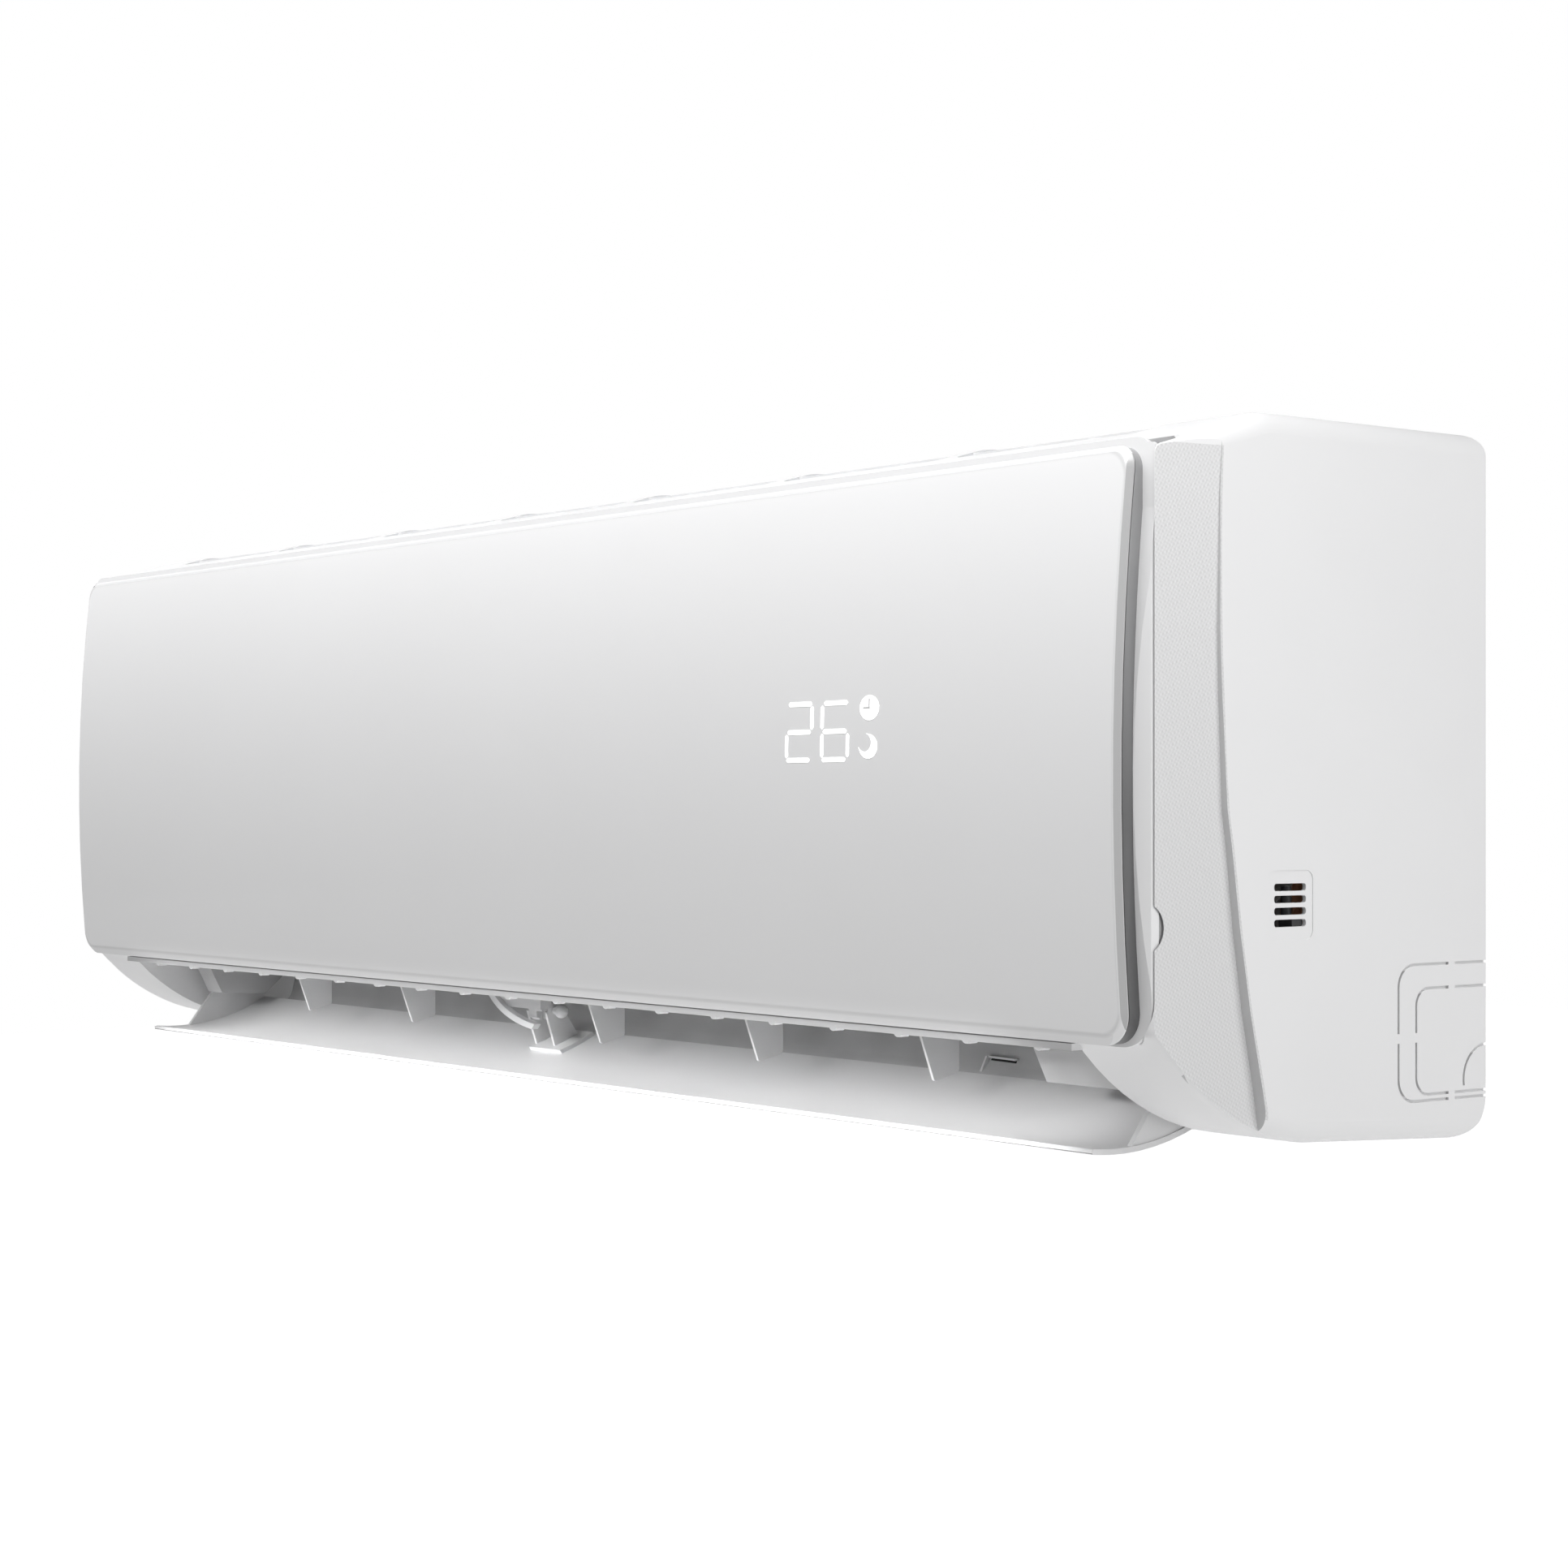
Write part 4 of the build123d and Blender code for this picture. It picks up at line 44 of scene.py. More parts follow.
# ---- camera, light and floor --------------------------------------------------------------------
SENSOR = 36.0           # width of the camera's sensor, in millimetres
PHOTO = 1932            # side of the picture, in pixels
FOCAL_PX = 3709.0       # focal length, in those pixels
PRINCIPAL_ROW = 988.8   # row that the level view axis meets
NEAREST = 0.01
CAMERA_PLACE = (1.3161, -1.0155, -0.0262)
CAMERA_AZIMUTH = 52.42
FILL_LIGHT = 0.13       # strength of the even light from all round
FLOOR_HALF = 6.0
FLOOR_LEVEL = -0.62
FLOOR_GLOW = 0.3        # the floor's own light, and what the camera sees beyond that
FLOOR_GLOW_SEEN = 0.7


def make_camera():
    data = bpy.data.cameras.new("camera")
    data.sensor_width = SENSOR
    data.lens = FOCAL_PX / PHOTO * SENSOR
    data.shift_y = (PRINCIPAL_ROW - PHOTO / 2) / PHOTO
    data.clip_start = NEAREST
    obj = bpy.data.objects.new("camera", data)
    obj.location = CAMERA_PLACE
    obj.rotation_euler = (math.radians(90), 0, math.radians(CAMERA_AZIMUTH))
    bpy.context.scene.collection.objects.link(obj)
    bpy.context.scene.camera = obj


def area_light(name, place, target, size, power, spread=180):
    data = bpy.data.lights.new(name, "AREA")
    data.shape = "RECTANGLE"
    data.size, data.size_y = size
    data.energy = power
    data.spread = math.radians(spread)
    obj = bpy.data.objects.new(name, data)
    obj.location = place
    obj.rotation_euler = (Vector(target) - Vector(place)).to_track_quat("-Z", "Y").to_euler()
    obj.visible_camera = False
    bpy.context.scene.collection.objects.link(obj)


def make_world():
    world = bpy.data.worlds.new("studio")
    bpy.context.scene.world = world
    world.use_nodes = True
    nodes, links = world.node_tree.nodes, world.node_tree.links
    nodes.clear()
    out = nodes.new("ShaderNodeOutputWorld")
    fill = nodes.new("ShaderNodeBackground")
    fill.inputs["Color"].default_value = (1, 1, 1, 1)
    fill.inputs["Strength"].default_value = FILL_LIGHT
    white = nodes.new("ShaderNodeBackground")
    white.inputs["Color"].default_value = (1, 1, 1, 1)
    white.inputs["Strength"].default_value = 1.0
    mix = nodes.new("ShaderNodeMixShader")
    seen = nodes.new("ShaderNodeLightPath")
    links.new(seen.outputs["Is Camera Ray"], mix.inputs[0])
    links.new(fill.outputs[0], mix.inputs[1])
    links.new(white.outputs[0], mix.inputs[2])
    links.new(mix.outputs[0], out.inputs["Surface"])


def make_floor():
    corners = [(x * FLOOR_HALF, y * FLOOR_HALF, FLOOR_LEVEL) for x, y in ((-1, -1), (1, -1), (1, 1), (-1, 1))]
    mesh = bpy.data.meshes.new("floor")
    mesh.from_pydata(corners, [], [(0, 1, 2, 3)])
    obj = bpy.data.objects.new("floor", mesh)
    bpy.context.scene.collection.objects.link(obj)
    paint = plastic("floor_paint", (0.93, 0.93, 0.93), rough=0.9, grain=(60, 0.02))
    shader = paint.node_tree.nodes["Principled BSDF"]
    shader.inputs["Emission Color"].default_value = (1, 1, 1, 1)
    seen = paint.node_tree.nodes.new("ShaderNodeLightPath")
    glow = paint.node_tree.nodes.new("ShaderNodeMath")
    glow.operation = "MULTIPLY_ADD"
    paint.node_tree.links.new(seen.outputs["Is Camera Ray"], glow.inputs[0])
    glow.inputs[1].default_value = FLOOR_GLOW_SEEN
    glow.inputs[2].default_value = FLOOR_GLOW
    paint.node_tree.links.new(glow.outputs[0], shader.inputs["Emission Strength"])
    mesh.materials.append(paint)


# ---- materials ----------------------------------------------------------------------------------
class Net:
    """Small helper for wiring a node material."""

    def __init__(self, name):
        self.mat = bpy.data.materials.new(name)
        self.mat.use_nodes = True
        self.tree = self.mat.node_tree
        self.shader = self.tree.nodes["Principled BSDF"]
        self.coords = self.node("ShaderNodeTexCoord")
        self.place = self.coords.outputs["Object"]

    def node(self, kind, **values):
        made = self.tree.nodes.new(kind)
        for key, value in values.items():
            setattr(made, key, value)
        return made

    def link(self, a, b):
        self.tree.links.new(a, b)

    def math(self, kind, a, b=None, c=None):
        made = self.node("ShaderNodeMath", operation=kind)
        for i, value in enumerate((a, b, c)):
            if value is None:
                continue
            if isinstance(value, (int, float)):
                made.inputs[i].default_value = value
            else:
                self.link(value, made.inputs[i])
        return made.outputs[0]

    def axes(self):
        split = self.node("ShaderNodeSeparateXYZ")
        self.link(self.place, split.inputs[0])
        return split.outputs

    def facing(self):
        split = self.node("ShaderNodeSeparateXYZ")
        self.link(self.coords.outputs["Normal"], split.inputs[0])
        return split.outputs

    def noise(self, scale, detail=3.0, stretch=None):
        made = self.node("ShaderNodeTexNoise")
        made.inputs["Scale"].default_value = scale
        made.inputs["Detail"].default_value = detail
        if stretch:
            mapping = self.node("ShaderNodeMapping")
            mapping.inputs["Scale"].default_value = stretch
            self.link(self.place, mapping.inputs["Vector"])
            self.link(mapping.outputs[0], made.inputs["Vector"])
        else:
            self.link(self.place, made.inputs["Vector"])
        return made.outputs["Fac"]

    def length(self, a, b):
        return self.math("SQRT", self.math("ADD", self.math("MULTIPLY", a, a), self.math("MULTIPLY", b, b)))

    def spread(self, value, low, high, start=0.3, end=0.7):
        made = self.node("ShaderNodeMapRange")
        made.inputs["From Min"].default_value = start
        made.inputs["From Max"].default_value = end
        made.inputs["To Min"].default_value = low
        made.inputs["To Max"].default_value = high
        self.link(value, made.inputs["Value"])
        return made.outputs[0]

    def blend(self, factor, dark, light):
        made = self.node("ShaderNodeMix", data_type="RGBA")
        self.link(factor, made.inputs["Factor"])
        for value, socket in ((dark, made.inputs["A"]), (light, made.inputs["B"])):
            if isinstance(value, tuple):
                socket.default_value = (*value, 1)
            else:
                self.link(value, socket)
        return made.outputs["Result"]

    def bump(self, height, distance, strength=1.0, under=None):
        made = self.node("ShaderNodeBump")
        made.inputs["Distance"].default_value = distance
        made.inputs["Strength"].default_value = strength
        self.link(height, made.inputs["Height"])
        if under is not None:
            self.link(under, made.inputs["Normal"])
        self.link(made.outputs[0], self.shader.inputs["Normal"])
        return made.outputs[0]

    def set(self, **values):
        for key, value in values.items():
            self.shader.inputs[key.replace("_", " ")].default_value = value


def tinted(color, share):
    return tuple(min(1.0, channel * share) for channel in color)


def plastic(name, color, rough=0.4, grain=(900, 0.02), tone=0.985, metallic=0.0, coat=0.0, blotch=9.0):
    """Moulded surface: slight unevenness of tone and gloss, and a fine grain."""
    net = Net(name)
    net.set(Roughness=rough, Metallic=metallic, Coat_Weight=coat)
    cloud = net.noise(blotch, 2.0)
    net.link(net.blend(net.spread(cloud, 0, 1), tinted(color, tone), color),
             net.shader.inputs["Base Color"])
    net.link(net.spread(net.noise(35, 2.0), rough * 0.92, rough * 1.1), net.shader.inputs["Roughness"])
    if grain:
        net.bump(net.noise(grain[0], 2.0), 0.0002, grain[1])
    return net.mat


WHITE = (0.86, 0.86, 0.865)

# the textured strip on the casing's end and the step behind it, in metres
STRIP_SIDE = 0.4785             # distance from the middle beyond which the strip lies
STRIP_TOP = 0.284
STEP_LINE = [(0.0, 0.75), (0.097, 0.69), (0.2, 0.62), (0.313, 0.56), (0.41, 0.52), (0.47, 0.49),
             (0.627, 0.46), (0.707, 0.45), (0.887, 0.45), (1.0, 0.47)]   # share of height, setback
STEP_UNIT = 0.1                 # metres of setback for 1 on that line
STEP_MARGIN = 0.0012
STEP_FRONT = -0.175             # the shaded step lies behind this depth
WEAVE_PITCH = 0.0021
STEEP_SLANT, LEVEL_SLANT = 0.27, 0.3

# the groove round the panel, whose floor is painted in shade
GROOVE_SIDE, GROOVE_HALF = 0.4799, 0.0006
GROOVE_FRONT, GROOVE_REAR = -0.1922, -0.184
GROOVE_FOOT = 0.046

# the scooped finger recess, painted in shade
THUMB_HEIGHT, THUMB_DEPTH, THUMB_RADIUS = 0.095, 0.19625, 0.0099
THUMB_SIDE = 0.479
THUMB_FRONT, THUMB_REAR = -0.1925, -0.1865

# the flat face of the panel inside its bevel
FACE_HALF = 0.4706
FACE_LOW, FACE_HIGH = 0.0534 - BASE, 0.2807 - BASE
FACE_MIDDLE = (FACE_LOW + FACE_HIGH) / 2
FACE_RISE = (FACE_HIGH - FACE_LOW) / 2
FACE_CORNER = 0.011


def casing_material():
    """White moulded plastic whose side strip carries a fine embossed mesh of slanted squares, with painted
    shade on the strip, the step beside it, the groove round the panel and the finger recess.
    """
    net = Net("casing_plastic")
    net.set(Roughness=0.42)
    x, y, z = net.axes()
    side = net.math("ABSOLUTE", x)
    height = net.math("ADD", z, BASE)
    # depth of the step line behind the front, as a smooth function of height
    t = net.math("DIVIDE", height, HEIGHT)
    curve = net.node("ShaderNodeFloatCurve")
    line = curve.mapping.curves[0]
    line.points[0].location = STEP_LINE[0]
    line.points[1].location = STEP_LINE[-1]
    for place in STEP_LINE[1:-1]:
        line.points.new(*place)
    curve.mapping.update()
    net.link(t, curve.inputs["Value"])
    setback = net.math("MULTIPLY", curve.outputs[0], STEP_UNIT)
    front = net.math("SUBTRACT", setback, DEPTH - STEP_MARGIN)
    in_front = net.math("LESS_THAN", y, front)
    outside = net.math("GREATER_THAN", side, STRIP_SIDE)
    below = net.math("LESS_THAN", height, STRIP_TOP)
    facing = net.facing()
    sideways = net.math("GREATER_THAN", net.math("ABSOLUTE", facing[0]), 0.9)
    strip_area = net.math("MULTIPLY", in_front, outside)
    strip = net.math("MULTIPLY", strip_area, net.math("MULTIPLY", below, sideways))
    # painted shade: the step beside the strip and the floor of the groove round the panel are coloured
    # darker, where they get less light
    ahead = net.math("LESS_THAN", facing[1], -0.6)
    near_end = net.math("MULTIPLY", outside, net.math("GREATER_THAN", y, STEP_FRONT))
    step = net.math("MULTIPLY", ahead, near_end)
    groove_wall = net.math("COMPARE", side, GROOVE_SIDE, GROOVE_HALF)
    in_groove = net.math("MULTIPLY", groove_wall, net.math("GREATER_THAN", y, GROOVE_FRONT))
    inward = net.math("LESS_THAN", net.math("MULTIPLY", x, facing[0]), 0.1)
    before_rear = net.math("LESS_THAN", y, GROOVE_REAR)
    beside_panel = net.math("MULTIPLY", before_rear, net.math("GREATER_THAN", height, GROOVE_FOOT))
    groove = net.math("MULTIPLY", net.math("MULTIPLY", in_groove, inward), beside_panel)
    # the scooped finger recess, with painted shade that deepens towards its rear
    down = net.math("SUBTRACT", height, THUMB_HEIGHT)
    ahead_of = net.math("SUBTRACT", y, -THUMB_DEPTH)
    in_circle = net.math("LESS_THAN", net.length(down, ahead_of), THUMB_RADIUS)
    scoop = net.math("MULTIPLY", in_circle, net.math("GREATER_THAN", side, THUMB_SIDE))
    deep = net.spread(y, 0.35, 0.85, THUMB_FRONT, THUMB_REAR)
    # small lozenges: steep slanted rows crossed by nearly level ones
    pitch = 2 * math.pi / WEAVE_PITCH
    slant = net.math("ADD", y, net.math("MULTIPLY", height, STEEP_SLANT))
    level = net.math("SUBTRACT", height, net.math("MULTIPLY", y, LEVEL_SLANT))
    wave_u = net.math("SINE", net.math("MULTIPLY", slant, pitch))
    wave_v = net.math("SINE", net.math("MULTIPLY", level, pitch))
    dots = net.math("ADD", net.math("MULTIPLY", net.math("MULTIPLY", wave_u, wave_v), 0.75),
                    net.math("MULTIPLY", wave_u, 0.25))
    weave = net.math("MULTIPLY", dots, strip)
    grain = net.bump(net.noise(900, 2.0), 0.0002, 0.02)
    net.bump(weave, 0.00016, 0.5, under=grain)
    cloud = net.spread(net.noise(9, 2.0), 0, 1)
    base = net.blend(cloud, tinted(WHITE, 0.985), WHITE)
    # painted shade: the strip is coloured darker than the smooth side, darkest in the hollows of its embossed
    # mesh
    lift = net.spread(weave, 0, 1, -1, 1)
    meshed = net.blend(lift, tinted(WHITE, 0.76), tinted(WHITE, 0.92))
    # painted shade laid over the colour: on the step, in the finger recess and on the groove's floor
    shaded = net.blend(step, net.blend(strip, base, meshed), tinted(WHITE, 0.62))
    scooped = net.blend(net.math("MULTIPLY", scoop, deep), shaded, tinted(WHITE, 0.35))
    net.link(net.blend(groove, scooped, (0.16, 0.16, 0.165)), net.shader.inputs["Base Color"])
    net.link(net.spread(net.noise(35, 2.0), 0.38, 0.46), net.shader.inputs["Roughness"])
    return net.mat


def panel_material():
    """Smooth skin of the panel, with painted shade: a soft dark line where its face turns into the bevel, and
    the bevel at the ends coloured darker.
    """
    net = Net("panel_plastic")
    net.set(Roughness=0.27, Coat_Weight=0.15)
    x, _, z = net.axes()
    from_middle = net.math("ABSOLUTE", net.math("SUBTRACT", z, FACE_MIDDLE))
    over_x = net.math("SUBTRACT", net.math("ABSOLUTE", x), FACE_HALF - FACE_CORNER)
    over_z = net.math("SUBTRACT", from_middle, FACE_RISE - FACE_CORNER)
    out_x = net.math("MAXIMUM", over_x, 0.0)
    out_z = net.math("MAXIMUM", over_z, 0.0)
    outside = net.length(out_x, out_z)
    inside = net.math("MINIMUM", net.math("MAXIMUM", over_x, over_z), 0.0)
    edge = net.math("SUBTRACT", net.math("ADD", outside, inside), FACE_CORNER)
    # painted shade: a soft dark line along the turn from face to bevel, and a darker bevel beyond the face's
    # ends
    line = net.spread(net.math("ABSOLUTE", net.math("SUBTRACT", edge, 0.0006)), 1, 0, 0.0002, 0.0014)
    beyond = net.math("GREATER_THAN", net.math("ABSOLUTE", x), FACE_HALF + 0.0004)
    cloud = net.spread(net.noise(9, 2.0), 0, 1)
    base = net.blend(cloud, (0.832, 0.832, 0.837), (0.84, 0.84, 0.845))
    edged = net.blend(beyond, base, (0.5, 0.5, 0.503))
    lined = net.blend(net.math("MULTIPLY", line, 0.35), edged, (0.5, 0.5, 0.503))
    net.link(lined, net.shader.inputs["Base Color"])
    net.bump(net.noise(1500, 2.0), 0.0002, 0.004)
    return net.mat


def trim_material():
    """Satin silver lacquer with painted shade: its colour grows darker towards the bottom."""
    net = Net("trim_lacquer")
    net.set(Roughness=0.32)
    z = net.axes()[2]
    # painted shade: the lacquer is coloured darker towards the bottom
    tone = net.spread(z, 0, 1, -0.03, 0.108)
    streaks = net.spread(net.noise(160, 3.0, (1, 1, 0.05)), 0.94, 1.0)
    shade = net.math("MULTIPLY", tone, streaks)
    net.link(net.blend(shade, (0.125, 0.125, 0.127), (0.36, 0.36, 0.365)), net.shader.inputs["Base Color"])
    net.bump(net.noise(1200, 2.0), 0.0002, 0.02)
    return net.mat


def louver_material():
    """White plastic of the louver, with painted shade: its downward faces near the front edge are coloured
    dark grey.
    """
    net = Net("louver_plastic")
    net.set(Roughness=0.35)
    y = net.axes()[1]
    # painted shade under the front edge, chosen by the faces facing downward
    under = net.math("LESS_THAN", net.facing()[2], -0.25)
    underside_shade = net.math("MULTIPLY", under, net.math("LESS_THAN", y, -0.1738))
    cloud = net.spread(net.noise(9, 2.0), 0, 1)
    base = net.blend(cloud, tinted(WHITE, 0.985), WHITE)
    net.link(net.blend(underside_shade, base, (0.2, 0.2, 0.2)), net.shader.inputs["Base Color"])
    net.link(net.spread(net.noise(35, 2.0), 0.32, 0.38), net.shader.inputs["Roughness"])
    net.bump(net.noise(900, 2.0), 0.0002, 0.02)
    return net.mat


def duct_material(name, dark, light, scale):
    """Inner plastic with painted reflections: soft cloudy patches standing for the pieces round it."""
    net = Net(name)
    net.set(Roughness=0.4)
    cloud = net.node("ShaderNodeTexVoronoi", feature="SMOOTH_F1")
    cloud.inputs["Scale"].default_value = scale
    cloud.inputs["Smoothness"].default_value = 0.6
    mapping = net.node("ShaderNodeMapping")
    mapping.inputs["Scale"].default_value = (1, 1, 0.6)
    net.link(net.place, mapping.inputs["Vector"])
    net.link(mapping.outputs[0], cloud.inputs["Vector"])
    soft = net.spread(cloud.outputs["Distance"], 0, 1, 0.1, 0.8)
    mixed = net.math("MULTIPLY", soft, net.spread(net.noise(14, 3.0), 0.5, 1.0))
    # painted reflection: cloudy patches of light and dark colour
    net.link(net.blend(mixed, dark, light), net.shader.inputs["Base Color"])
    net.link(net.spread(net.noise(30, 2.0), 0.28, 0.5), net.shader.inputs["Roughness"])
    net.bump(net.noise(900, 2.0), 0.0002, 0.02)
    return net.mat


FIN_PITCH = 0.0014
NET_PITCH = 0.0016


def fin_material():
    """Packed thin fins, seen on their edges, with painted shade in the gaps between them."""
    net = Net("coil_fins")
    net.set(Metallic=0.9, Roughness=0.38)
    x = net.axes()[0]
    wave = net.math("SINE", net.math("MULTIPLY", x, 2 * math.pi / FIN_PITCH))
    net.bump(wave, 0.0004, 0.8)
    # painted shade: the gaps between fins are coloured dark, the fin edges light
    tone = net.spread(wave, 0, 1, -1, 1)
    net.link(net.blend(tone, (0.25, 0.27, 0.29), (0.72, 0.75, 0.78)), net.shader.inputs["Base Color"])
    return net.mat


def net_material():
    """Fine woven net of the air filters."""
    net = Net("filter_net")
    net.set(Roughness=0.7)
    x, y, z = net.axes()
    pitch = 2 * math.pi / NET_PITCH
    across = net.math("SINE", net.math("MULTIPLY", x, pitch))
    along = net.math("SINE", net.math("MULTIPLY", net.math("ADD", y, z), pitch))
    weave = net.math("MAXIMUM", across, along)
    net.bump(weave, 0.0003, 0.7)
    net.link(net.blend(net.spread(weave, 0, 1, -0.4, 1), (0.05, 0.07, 0.1), (0.3, 0.38, 0.5)),
             net.shader.inputs["Base Color"])
    return net.mat


def board_material():
    """Lacquered board with a pattern of tracks."""
    net = Net("circuit_board")
    net.set(Roughness=0.35)
    tracks = net.node("ShaderNodeTexBrick")
    tracks.inputs["Scale"].default_value = 160
    tracks.inputs["Mortar Size"].default_value = 0.03
    tracks.inputs["Color1"].default_value = (0.015, 0.12, 0.04, 1)
    tracks.inputs["Color2"].default_value = (0.02, 0.15, 0.05, 1)
    tracks.inputs["Mortar"].default_value = (0.08, 0.3, 0.12, 1)
    mapping = net.node("ShaderNodeMapping")
    mapping.inputs["Rotation"].default_value = (math.radians(90), 0, 0)
    net.link(net.place, mapping.inputs["Vector"])
    net.link(mapping.outputs[0], tracks.inputs["Vector"])
    net.link(tracks.outputs["Color"], net.shader.inputs["Base Color"])
    return net.mat


def metal(name, color, rough=0.35, brushed=(1, 1, 1)):
    """Plated or ground metal with drawn scratches."""
    net = Net(name)
    net.set(Metallic=1.0)
    streaks = net.noise(140, 4.0, brushed)
    net.link(net.spread(streaks, rough * 0.8, rough * 1.25), net.shader.inputs["Roughness"])
    net.link(net.blend(net.spread(streaks, 0, 1), tinted(color, 0.88), color),
             net.shader.inputs["Base Color"])
    net.bump(streaks, 0.0001, 0.15)
    return net.mat


def lit(name, strength):
    """Light of the display as it comes through the skin."""
    net = Net(name)
    net.set(Base_Color=(1, 1, 1, 1), Roughness=0.3, Emission_Color=(1, 1, 1, 1))
    glow = net.spread(net.noise(300, 1.0), strength * 0.97, strength)
    net.link(glow, net.shader.inputs["Emission Strength"])
    return net.mat


def dress_nodes():
    made = {
        "casing": casing_material(),
        "panel": panel_material(),
        "panel_frame": plastic("panel_frame_plastic", WHITE, rough=0.36),
        "trim": trim_material(),
        "chassis": duct_material("chassis_plastic", (0.45, 0.45, 0.453), (0.66, 0.66, 0.665), 26),
        "duct_parts": plastic("duct_plastic", (0.78, 0.78, 0.785), rough=0.45, tone=0.95, blotch=30),
        "louver": louver_material(),
        "tray": plastic("tray_plastic", (0.7, 0.7, 0.7), rough=0.5, tone=0.95),
        "steel": metal("galvanised_sheet", (0.62, 0.64, 0.66), 0.42),
        "screws": metal("zinc_screws", (0.6, 0.6, 0.58), 0.3),
        "shaft_steel": metal("ground_shaft", (0.62, 0.62, 0.62), 0.22, (1, 30, 30)),
        "fan": plastic("fan_plastic", (0.03, 0.03, 0.032), rough=0.5, tone=0.8, grain=(700, 0.08)),
        "rubber": plastic("black_rubber", (0.02, 0.02, 0.02), rough=0.75, tone=0.7, grain=(1200, 0.2)),
        "dark_plastic": plastic("dark_plastic", (0.05, 0.05, 0.052), rough=0.5, tone=0.8, grain=(900, 0.1)),
        "motor": plastic("motor_resin", (0.55, 0.55, 0.52), rough=0.55, tone=0.9, grain=(500, 0.1)),
        "stepper": metal("plated_can", (0.66, 0.66, 0.66), 0.28),
        "fins": fin_material(),
        "copper": metal("bare_copper", (0.78, 0.38, 0.22), 0.3),
        "brass": metal("machined_brass", (0.8, 0.6, 0.28), 0.25, (40, 1, 1)),
        "foam": plastic("closed_cell_foam", (0.72, 0.72, 0.7), rough=0.95, tone=0.85, grain=(700, 0.5),
                        blotch=200),
        "filter": net_material(),
        "box_plastic": plastic("box_plastic", (0.6, 0.6, 0.58), rough=0.5, tone=0.95),
        "board": board_material(),
        "board_parts": plastic("board_parts", (0.03, 0.03, 0.035), rough=0.4, tone=0.8),
        "terminal": plastic("terminal_plastic", (0.7, 0.7, 0.64), rough=0.5, tone=0.93),
        "button": plastic("button_plastic", (0.6, 0.6, 0.6), rough=0.4),
        "spring_steel": metal("drawn_wire", (0.7, 0.7, 0.7), 0.2),
        "display_frame": plastic("display_frame", (0.7, 0.7, 0.7), rough=0.5),
    }
    for row in frame["record"]["subparts"]:
        obj = frame["nodes"][row["node"]]
        for spot in obj.material_slots:
            spot.material = made[row["material_slot"]]
    return made


# ---- pieces -------------------------------------------------------------------------------------
def add_piece(name, verts, faces, material, body):
    mesh = bpy.data.meshes.new(name)
    mesh.from_pydata(verts, [], faces)
    bm = bmesh.new()
    bm.from_mesh(mesh)
    bmesh.ops.recalc_face_normals(bm, faces=bm.faces)
    bm.to_mesh(mesh)
    bm.free()
    mesh.materials.append(material)
    obj = bpy.data.objects.new(name, mesh)
    bpy.context.scene.collection.objects.link(obj)
    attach(obj, body)
    return obj


BOW_RADIUS = 1.0401     # the panel's face is an arc, furthest forward at the bow's height
BOW_HEIGHT = 0.1527
TILE_RISE = 0.00012     # half the thickness of a lit tile on that face
HAND_RISE = 0.0002


def ring_faces(count):
    """Faces of a solid whose two outlines of count points follow each other."""
    faces = [tuple(range(count)), tuple(range(2 * count - 1, count - 1, -1))]
    for i in range(count):
        after = (i + 1) % count
        faces.append((i, after, count + after, count + i))
    return faces


def skin_depth(height):
    """Distance from the wall to the skin's face at a height."""
    return DEPTH - BOW_RADIUS + math.sqrt(BOW_RADIUS ** 2 - (height - BOW_HEIGHT) ** 2)


def on_skin(name, outline, material, rise=TILE_RISE):
    """Thin tile of an (x, height) outline in millimetres, lying on the panel's face."""
    verts = []
    for lift in (rise, -rise):
        for x, h in outline:
            verts.append((x * MM, -(skin_depth(h * MM) + lift), h * MM - BASE))
    return add_piece(name, verts, ring_faces(len(outline)), material, "panel")


def bar_h(x0, x1, z, thick):
    """Level segment of a digit, pointed at both ends."""
    cut = thick / 2
    low, high = z - cut, z + cut
    return [(x0 + cut, low), (x1 - cut, low), (x1, z), (x1 - cut, high), (x0 + cut, high), (x0, z)]


def bar_v(x, z0, z1, thick):
    """Upright segment of a digit, pointed at both ends."""
    cut = thick / 2
    left, right = x - cut, x + cut
    return [(left, z0 + cut), (x, z0), (right, z0 + cut), (right, z1 - cut), (x, z1), (left, z1 - cut)]


# the display, in millimetres across from the middle and above the underside
SEGMENT_THICK = 1.9
DIGIT_LOW, DIGIT_MIDDLE, DIGIT_HIGH = 162.3, 174.5, 186.8
DIGITS = (("two", 263.6, 282.6, "abged"), ("six", 288.6, 307.6, "afgcde"))
CLOCK_X, CLOCK_Z = 321.9, 184.2
CLOCK_WIDE, CLOCK_HIGH = 6.3, 5.3
CLOCK_SIDES = 40
HAND_HALF = 0.45
HAND_UP, HAND_SIDE = 4.0, 4.2
HAND_FOOT, HAND_TOP = 0.5, 0.4
MOON_X, MOON_Z, MOON_RADIUS = 321.5, 167.7, 6.0
MOON_SQUASH = 0.86
MOON_START, MOON_SWEEP, MOON_END = -160, 250, 90
MOON_STEPS = 24
HOLLOW_LEFT, HOLLOW_UP, HOLLOW_LESS = 2.5, 1.6, 1.4


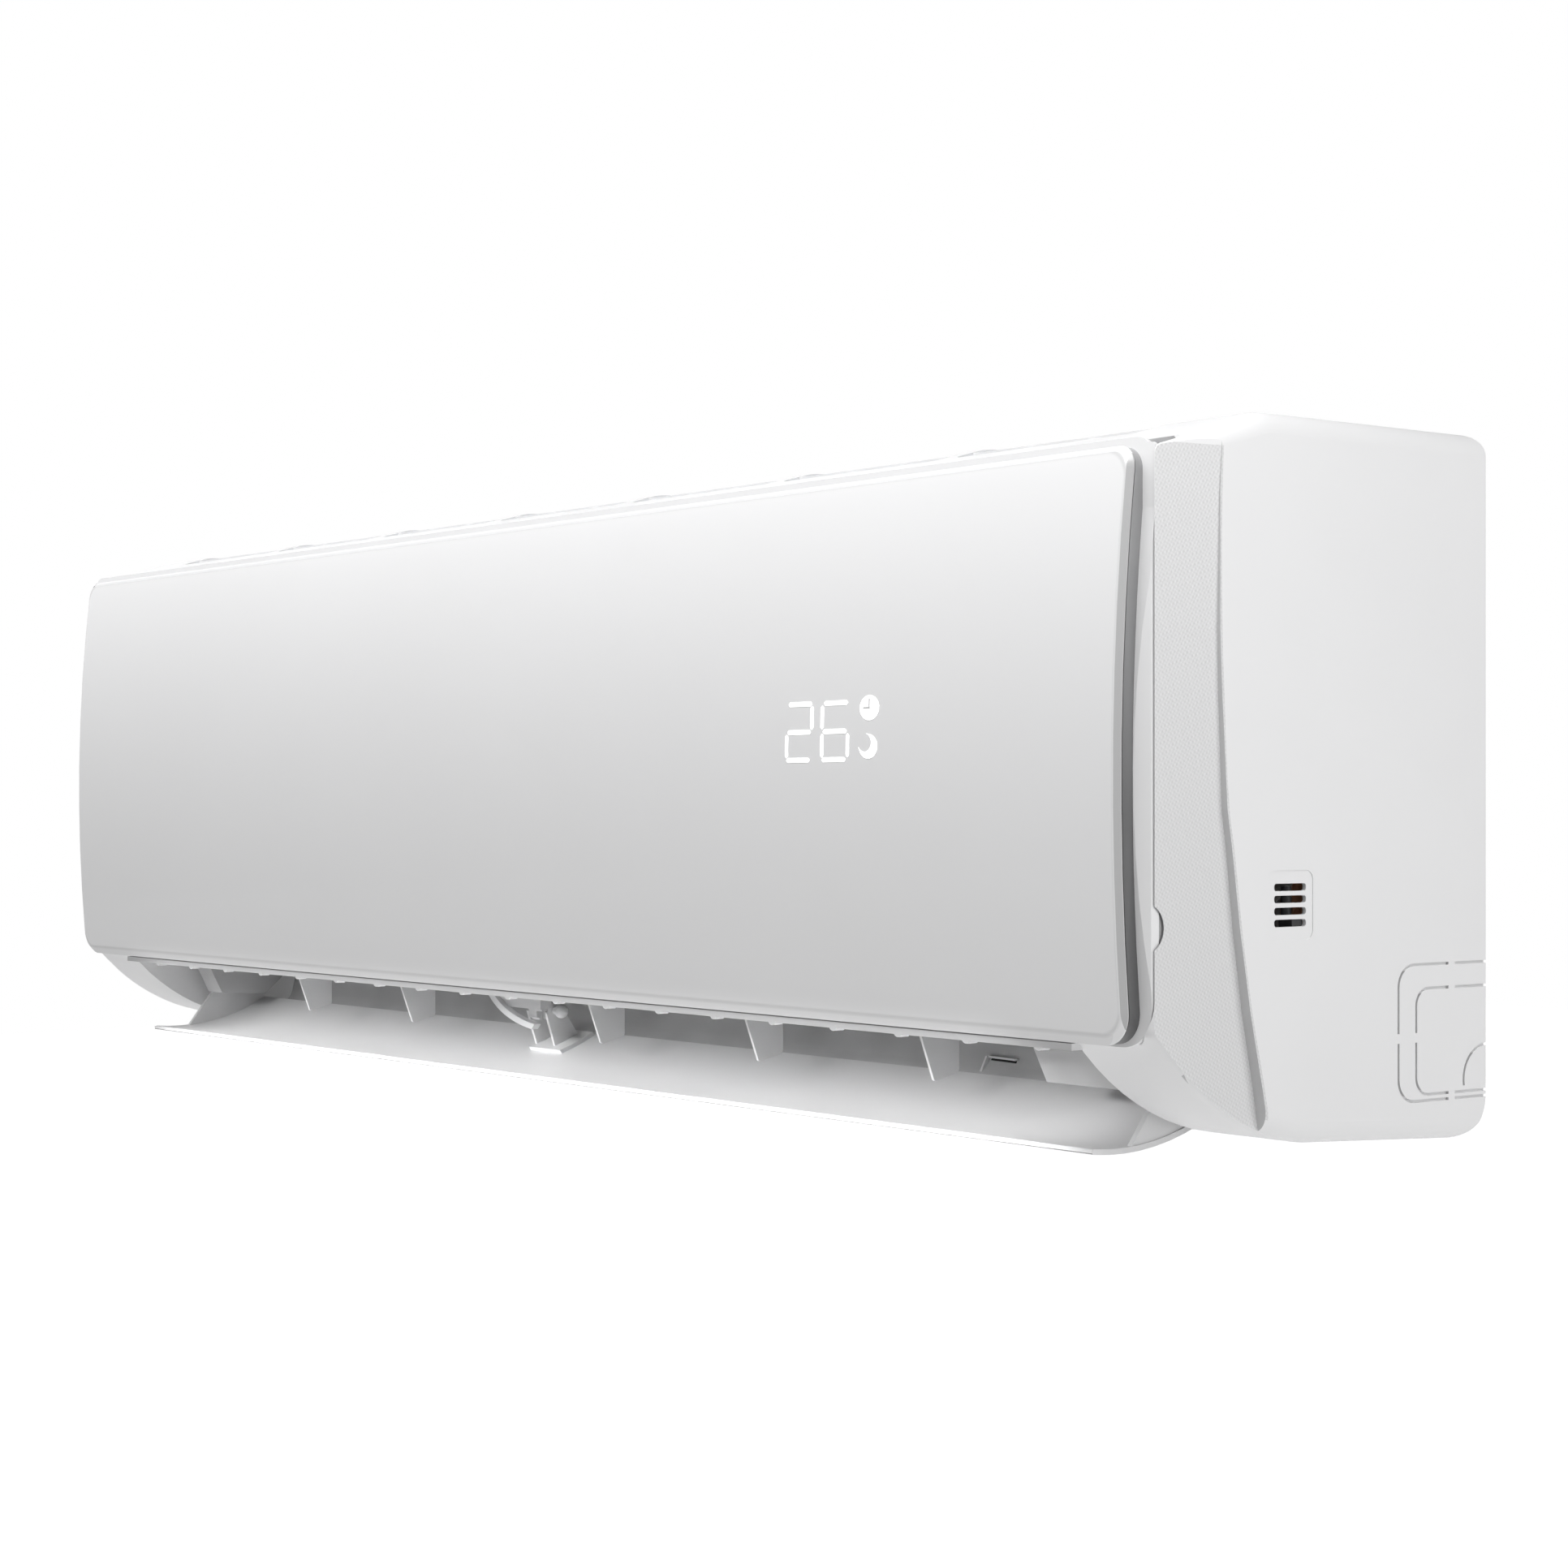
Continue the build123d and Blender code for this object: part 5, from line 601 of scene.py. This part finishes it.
def make_digits(glow):
    low, middle, high, thick = DIGIT_LOW, DIGIT_MIDDLE, DIGIT_HIGH, SEGMENT_THICK
    for name, x0, x1, segments in DIGITS:
        # the upright segments stand just inside the digit's two sides
        left, right = x0 + 1.0, x1 - 0.2
        shapes = {
            "a": bar_h(x0 + 2.2, x1 - 0.4, high, thick),
            "g": bar_h(x0 + 1.6, x1 - 1.0, middle, thick),
            "d": bar_h(x0 + 1.0, x1 - 1.6, low, thick),
            "b": bar_v(right, middle + 1, high - 1, thick),
            "c": bar_v(right, low + 1, middle - 1, thick),
            "f": bar_v(left, middle + 1, high - 1, thick),
            "e": bar_v(left, low + 1, middle - 1, thick),
        }
        for segment in segments:
            on_skin(f"digit_{name}_{segment}", shapes[segment], glow)


def block(x0, x1, z0, z1):
    return [(x0, z0), (x1, z0), (x1, z1), (x0, z1)]


def make_clock(glow):
    """Disc with two hands left dark."""
    hands = plastic("clock_hands", (0.6, 0.6, 0.6), rough=0.3, grain=None)
    cx, cz = CLOCK_X, CLOCK_Z
    turns = [2 * math.pi * i / CLOCK_SIDES for i in range(CLOCK_SIDES)]
    disc = [(cx + CLOCK_WIDE * math.cos(a), cz + CLOCK_HIGH * math.sin(a)) for a in turns]
    on_skin("clock_face", disc, glow)
    foot, right = cz - HAND_FOOT, cx + HAND_HALF
    on_skin("clock_hand_up", block(cx - HAND_HALF, right, foot, cz + HAND_UP), hands, HAND_RISE)
    on_skin("clock_hand_side", block(cx - HAND_SIDE, right, foot, cz + HAND_TOP), hands, HAND_RISE)


def make_moon(glow):
    """Crescent moon opening to the upper left."""
    rim = []
    inner = []
    for i in range(MOON_STEPS + 1):
        a = math.radians(MOON_START + MOON_SWEEP * i / MOON_STEPS)
        rim.append((MOON_X + MOON_RADIUS * math.cos(a), MOON_Z + MOON_RADIUS * MOON_SQUASH * math.sin(a)))
    hollow = MOON_RADIUS - HOLLOW_LESS
    for i in range(1, MOON_STEPS):
        t = i / MOON_STEPS
        a = math.radians(MOON_END - MOON_SWEEP * t)
        inner.append((MOON_X - HOLLOW_LEFT + hollow * math.cos(a),
                      MOON_Z + HOLLOW_UP + hollow * MOON_SQUASH * math.sin(a)))
    on_skin("moon", rim + inner, glow)


def make_display():
    glow = lit("display_light", 1.3)
    make_digits(glow)
    make_clock(glow)
    make_moon(glow)


# ---- small shapes in the air outlet -------------------------------------------------------------
# in millimetres, as the display is
LIP_UNDER = 44.5
BUMP_PITCH = 44.7
BUMP_START = -396.2
BUMP_COUNT = 19
BUMP_HALF, BUMP_DROP, BUMP_ROOT = 2.7, 2.1, 0.4
BUMP_SIDES = 12
BUMP_REAR, BUMP_FRONT = 181.5, 186.5
DUCT_WALL = 88.0                # depth of the rear wall that the slot, its edge and the ridge stand on
SLOT_FRONT, SLOT_EDGE_FRONT, RIDGE_FRONT = 90.6, 91.6, 92.6


def prism(name, outline, near, far, material):
    """Solid of an (x, height) outline between two depths in millimetres, fixed to the unit."""
    verts = [(x * MM, -d * MM, h * MM - BASE) for d in (near, far) for x, h in outline]
    return add_piece(name, verts, ring_faces(len(outline)), material, "unit")


def make_drip_bumps(material):
    """Row of little half-round drops moulded under the lip."""
    turns = [math.pi * k / BUMP_SIDES for k in range(BUMP_SIDES + 1)]
    root = LIP_UNDER + BUMP_ROOT
    for i in range(BUMP_COUNT):
        x = BUMP_START + i * BUMP_PITCH
        outline = [(x + BUMP_HALF * math.cos(a), root - BUMP_DROP * math.sin(a)) for a in turns]
        prism(f"drip_bump_{i + 1}", outline, BUMP_REAR, BUMP_FRONT, material)


def make_duct_slot(light, dark):
    """Slot with a raised edge in the rear wall of the outlet, and the thin ridge that runs from it."""
    slot = [(271, 24.6), (288, 24.3), (288, 25.5), (272, 25.8)]
    edge = [(270, 25.8), (289, 25.5), (289, 26.5), (270, 26.8)]
    ridge = [(269.6, 26.6), (270.8, 26.6), (265.0, 15.5), (263.4, 15.5)]
    prism("duct_slot", slot, DUCT_WALL, SLOT_FRONT, dark)
    prism("duct_slot_edge", edge, DUCT_WALL, SLOT_EDGE_FRONT, light)
    prism("duct_ridge", ridge, DUCT_WALL, RIDGE_FRONT, light)


def make_lights():
    """Long strip over the front, a broad light beyond the right end, and a low one into the outlet."""
    area_light("key", (0.0, -0.43, 0.50), (0, -0.2, 0.10), size=(3.0, 0.14), power=12.9)
    area_light("right", (2.2, 0.5, 0.45), (0.45, -0.1, 0.0), size=(1.2, 1.4), power=11.8)
    area_light("low", (0.0, -0.32, -0.10), (0, -0.14, -0.204), size=(0.8, 0.02), power=0.5, spread=42)


make_camera()
make_world()
made = dress_nodes()
make_floor()
make_drip_bumps(made["casing"])
make_duct_slot(made["duct_parts"], plastic("slot_shadow", (0.02, 0.02, 0.02), rough=0.8, tone=0.7))
make_lights()
make_display()
bpy.context.scene.view_settings.view_transform = "Standard"
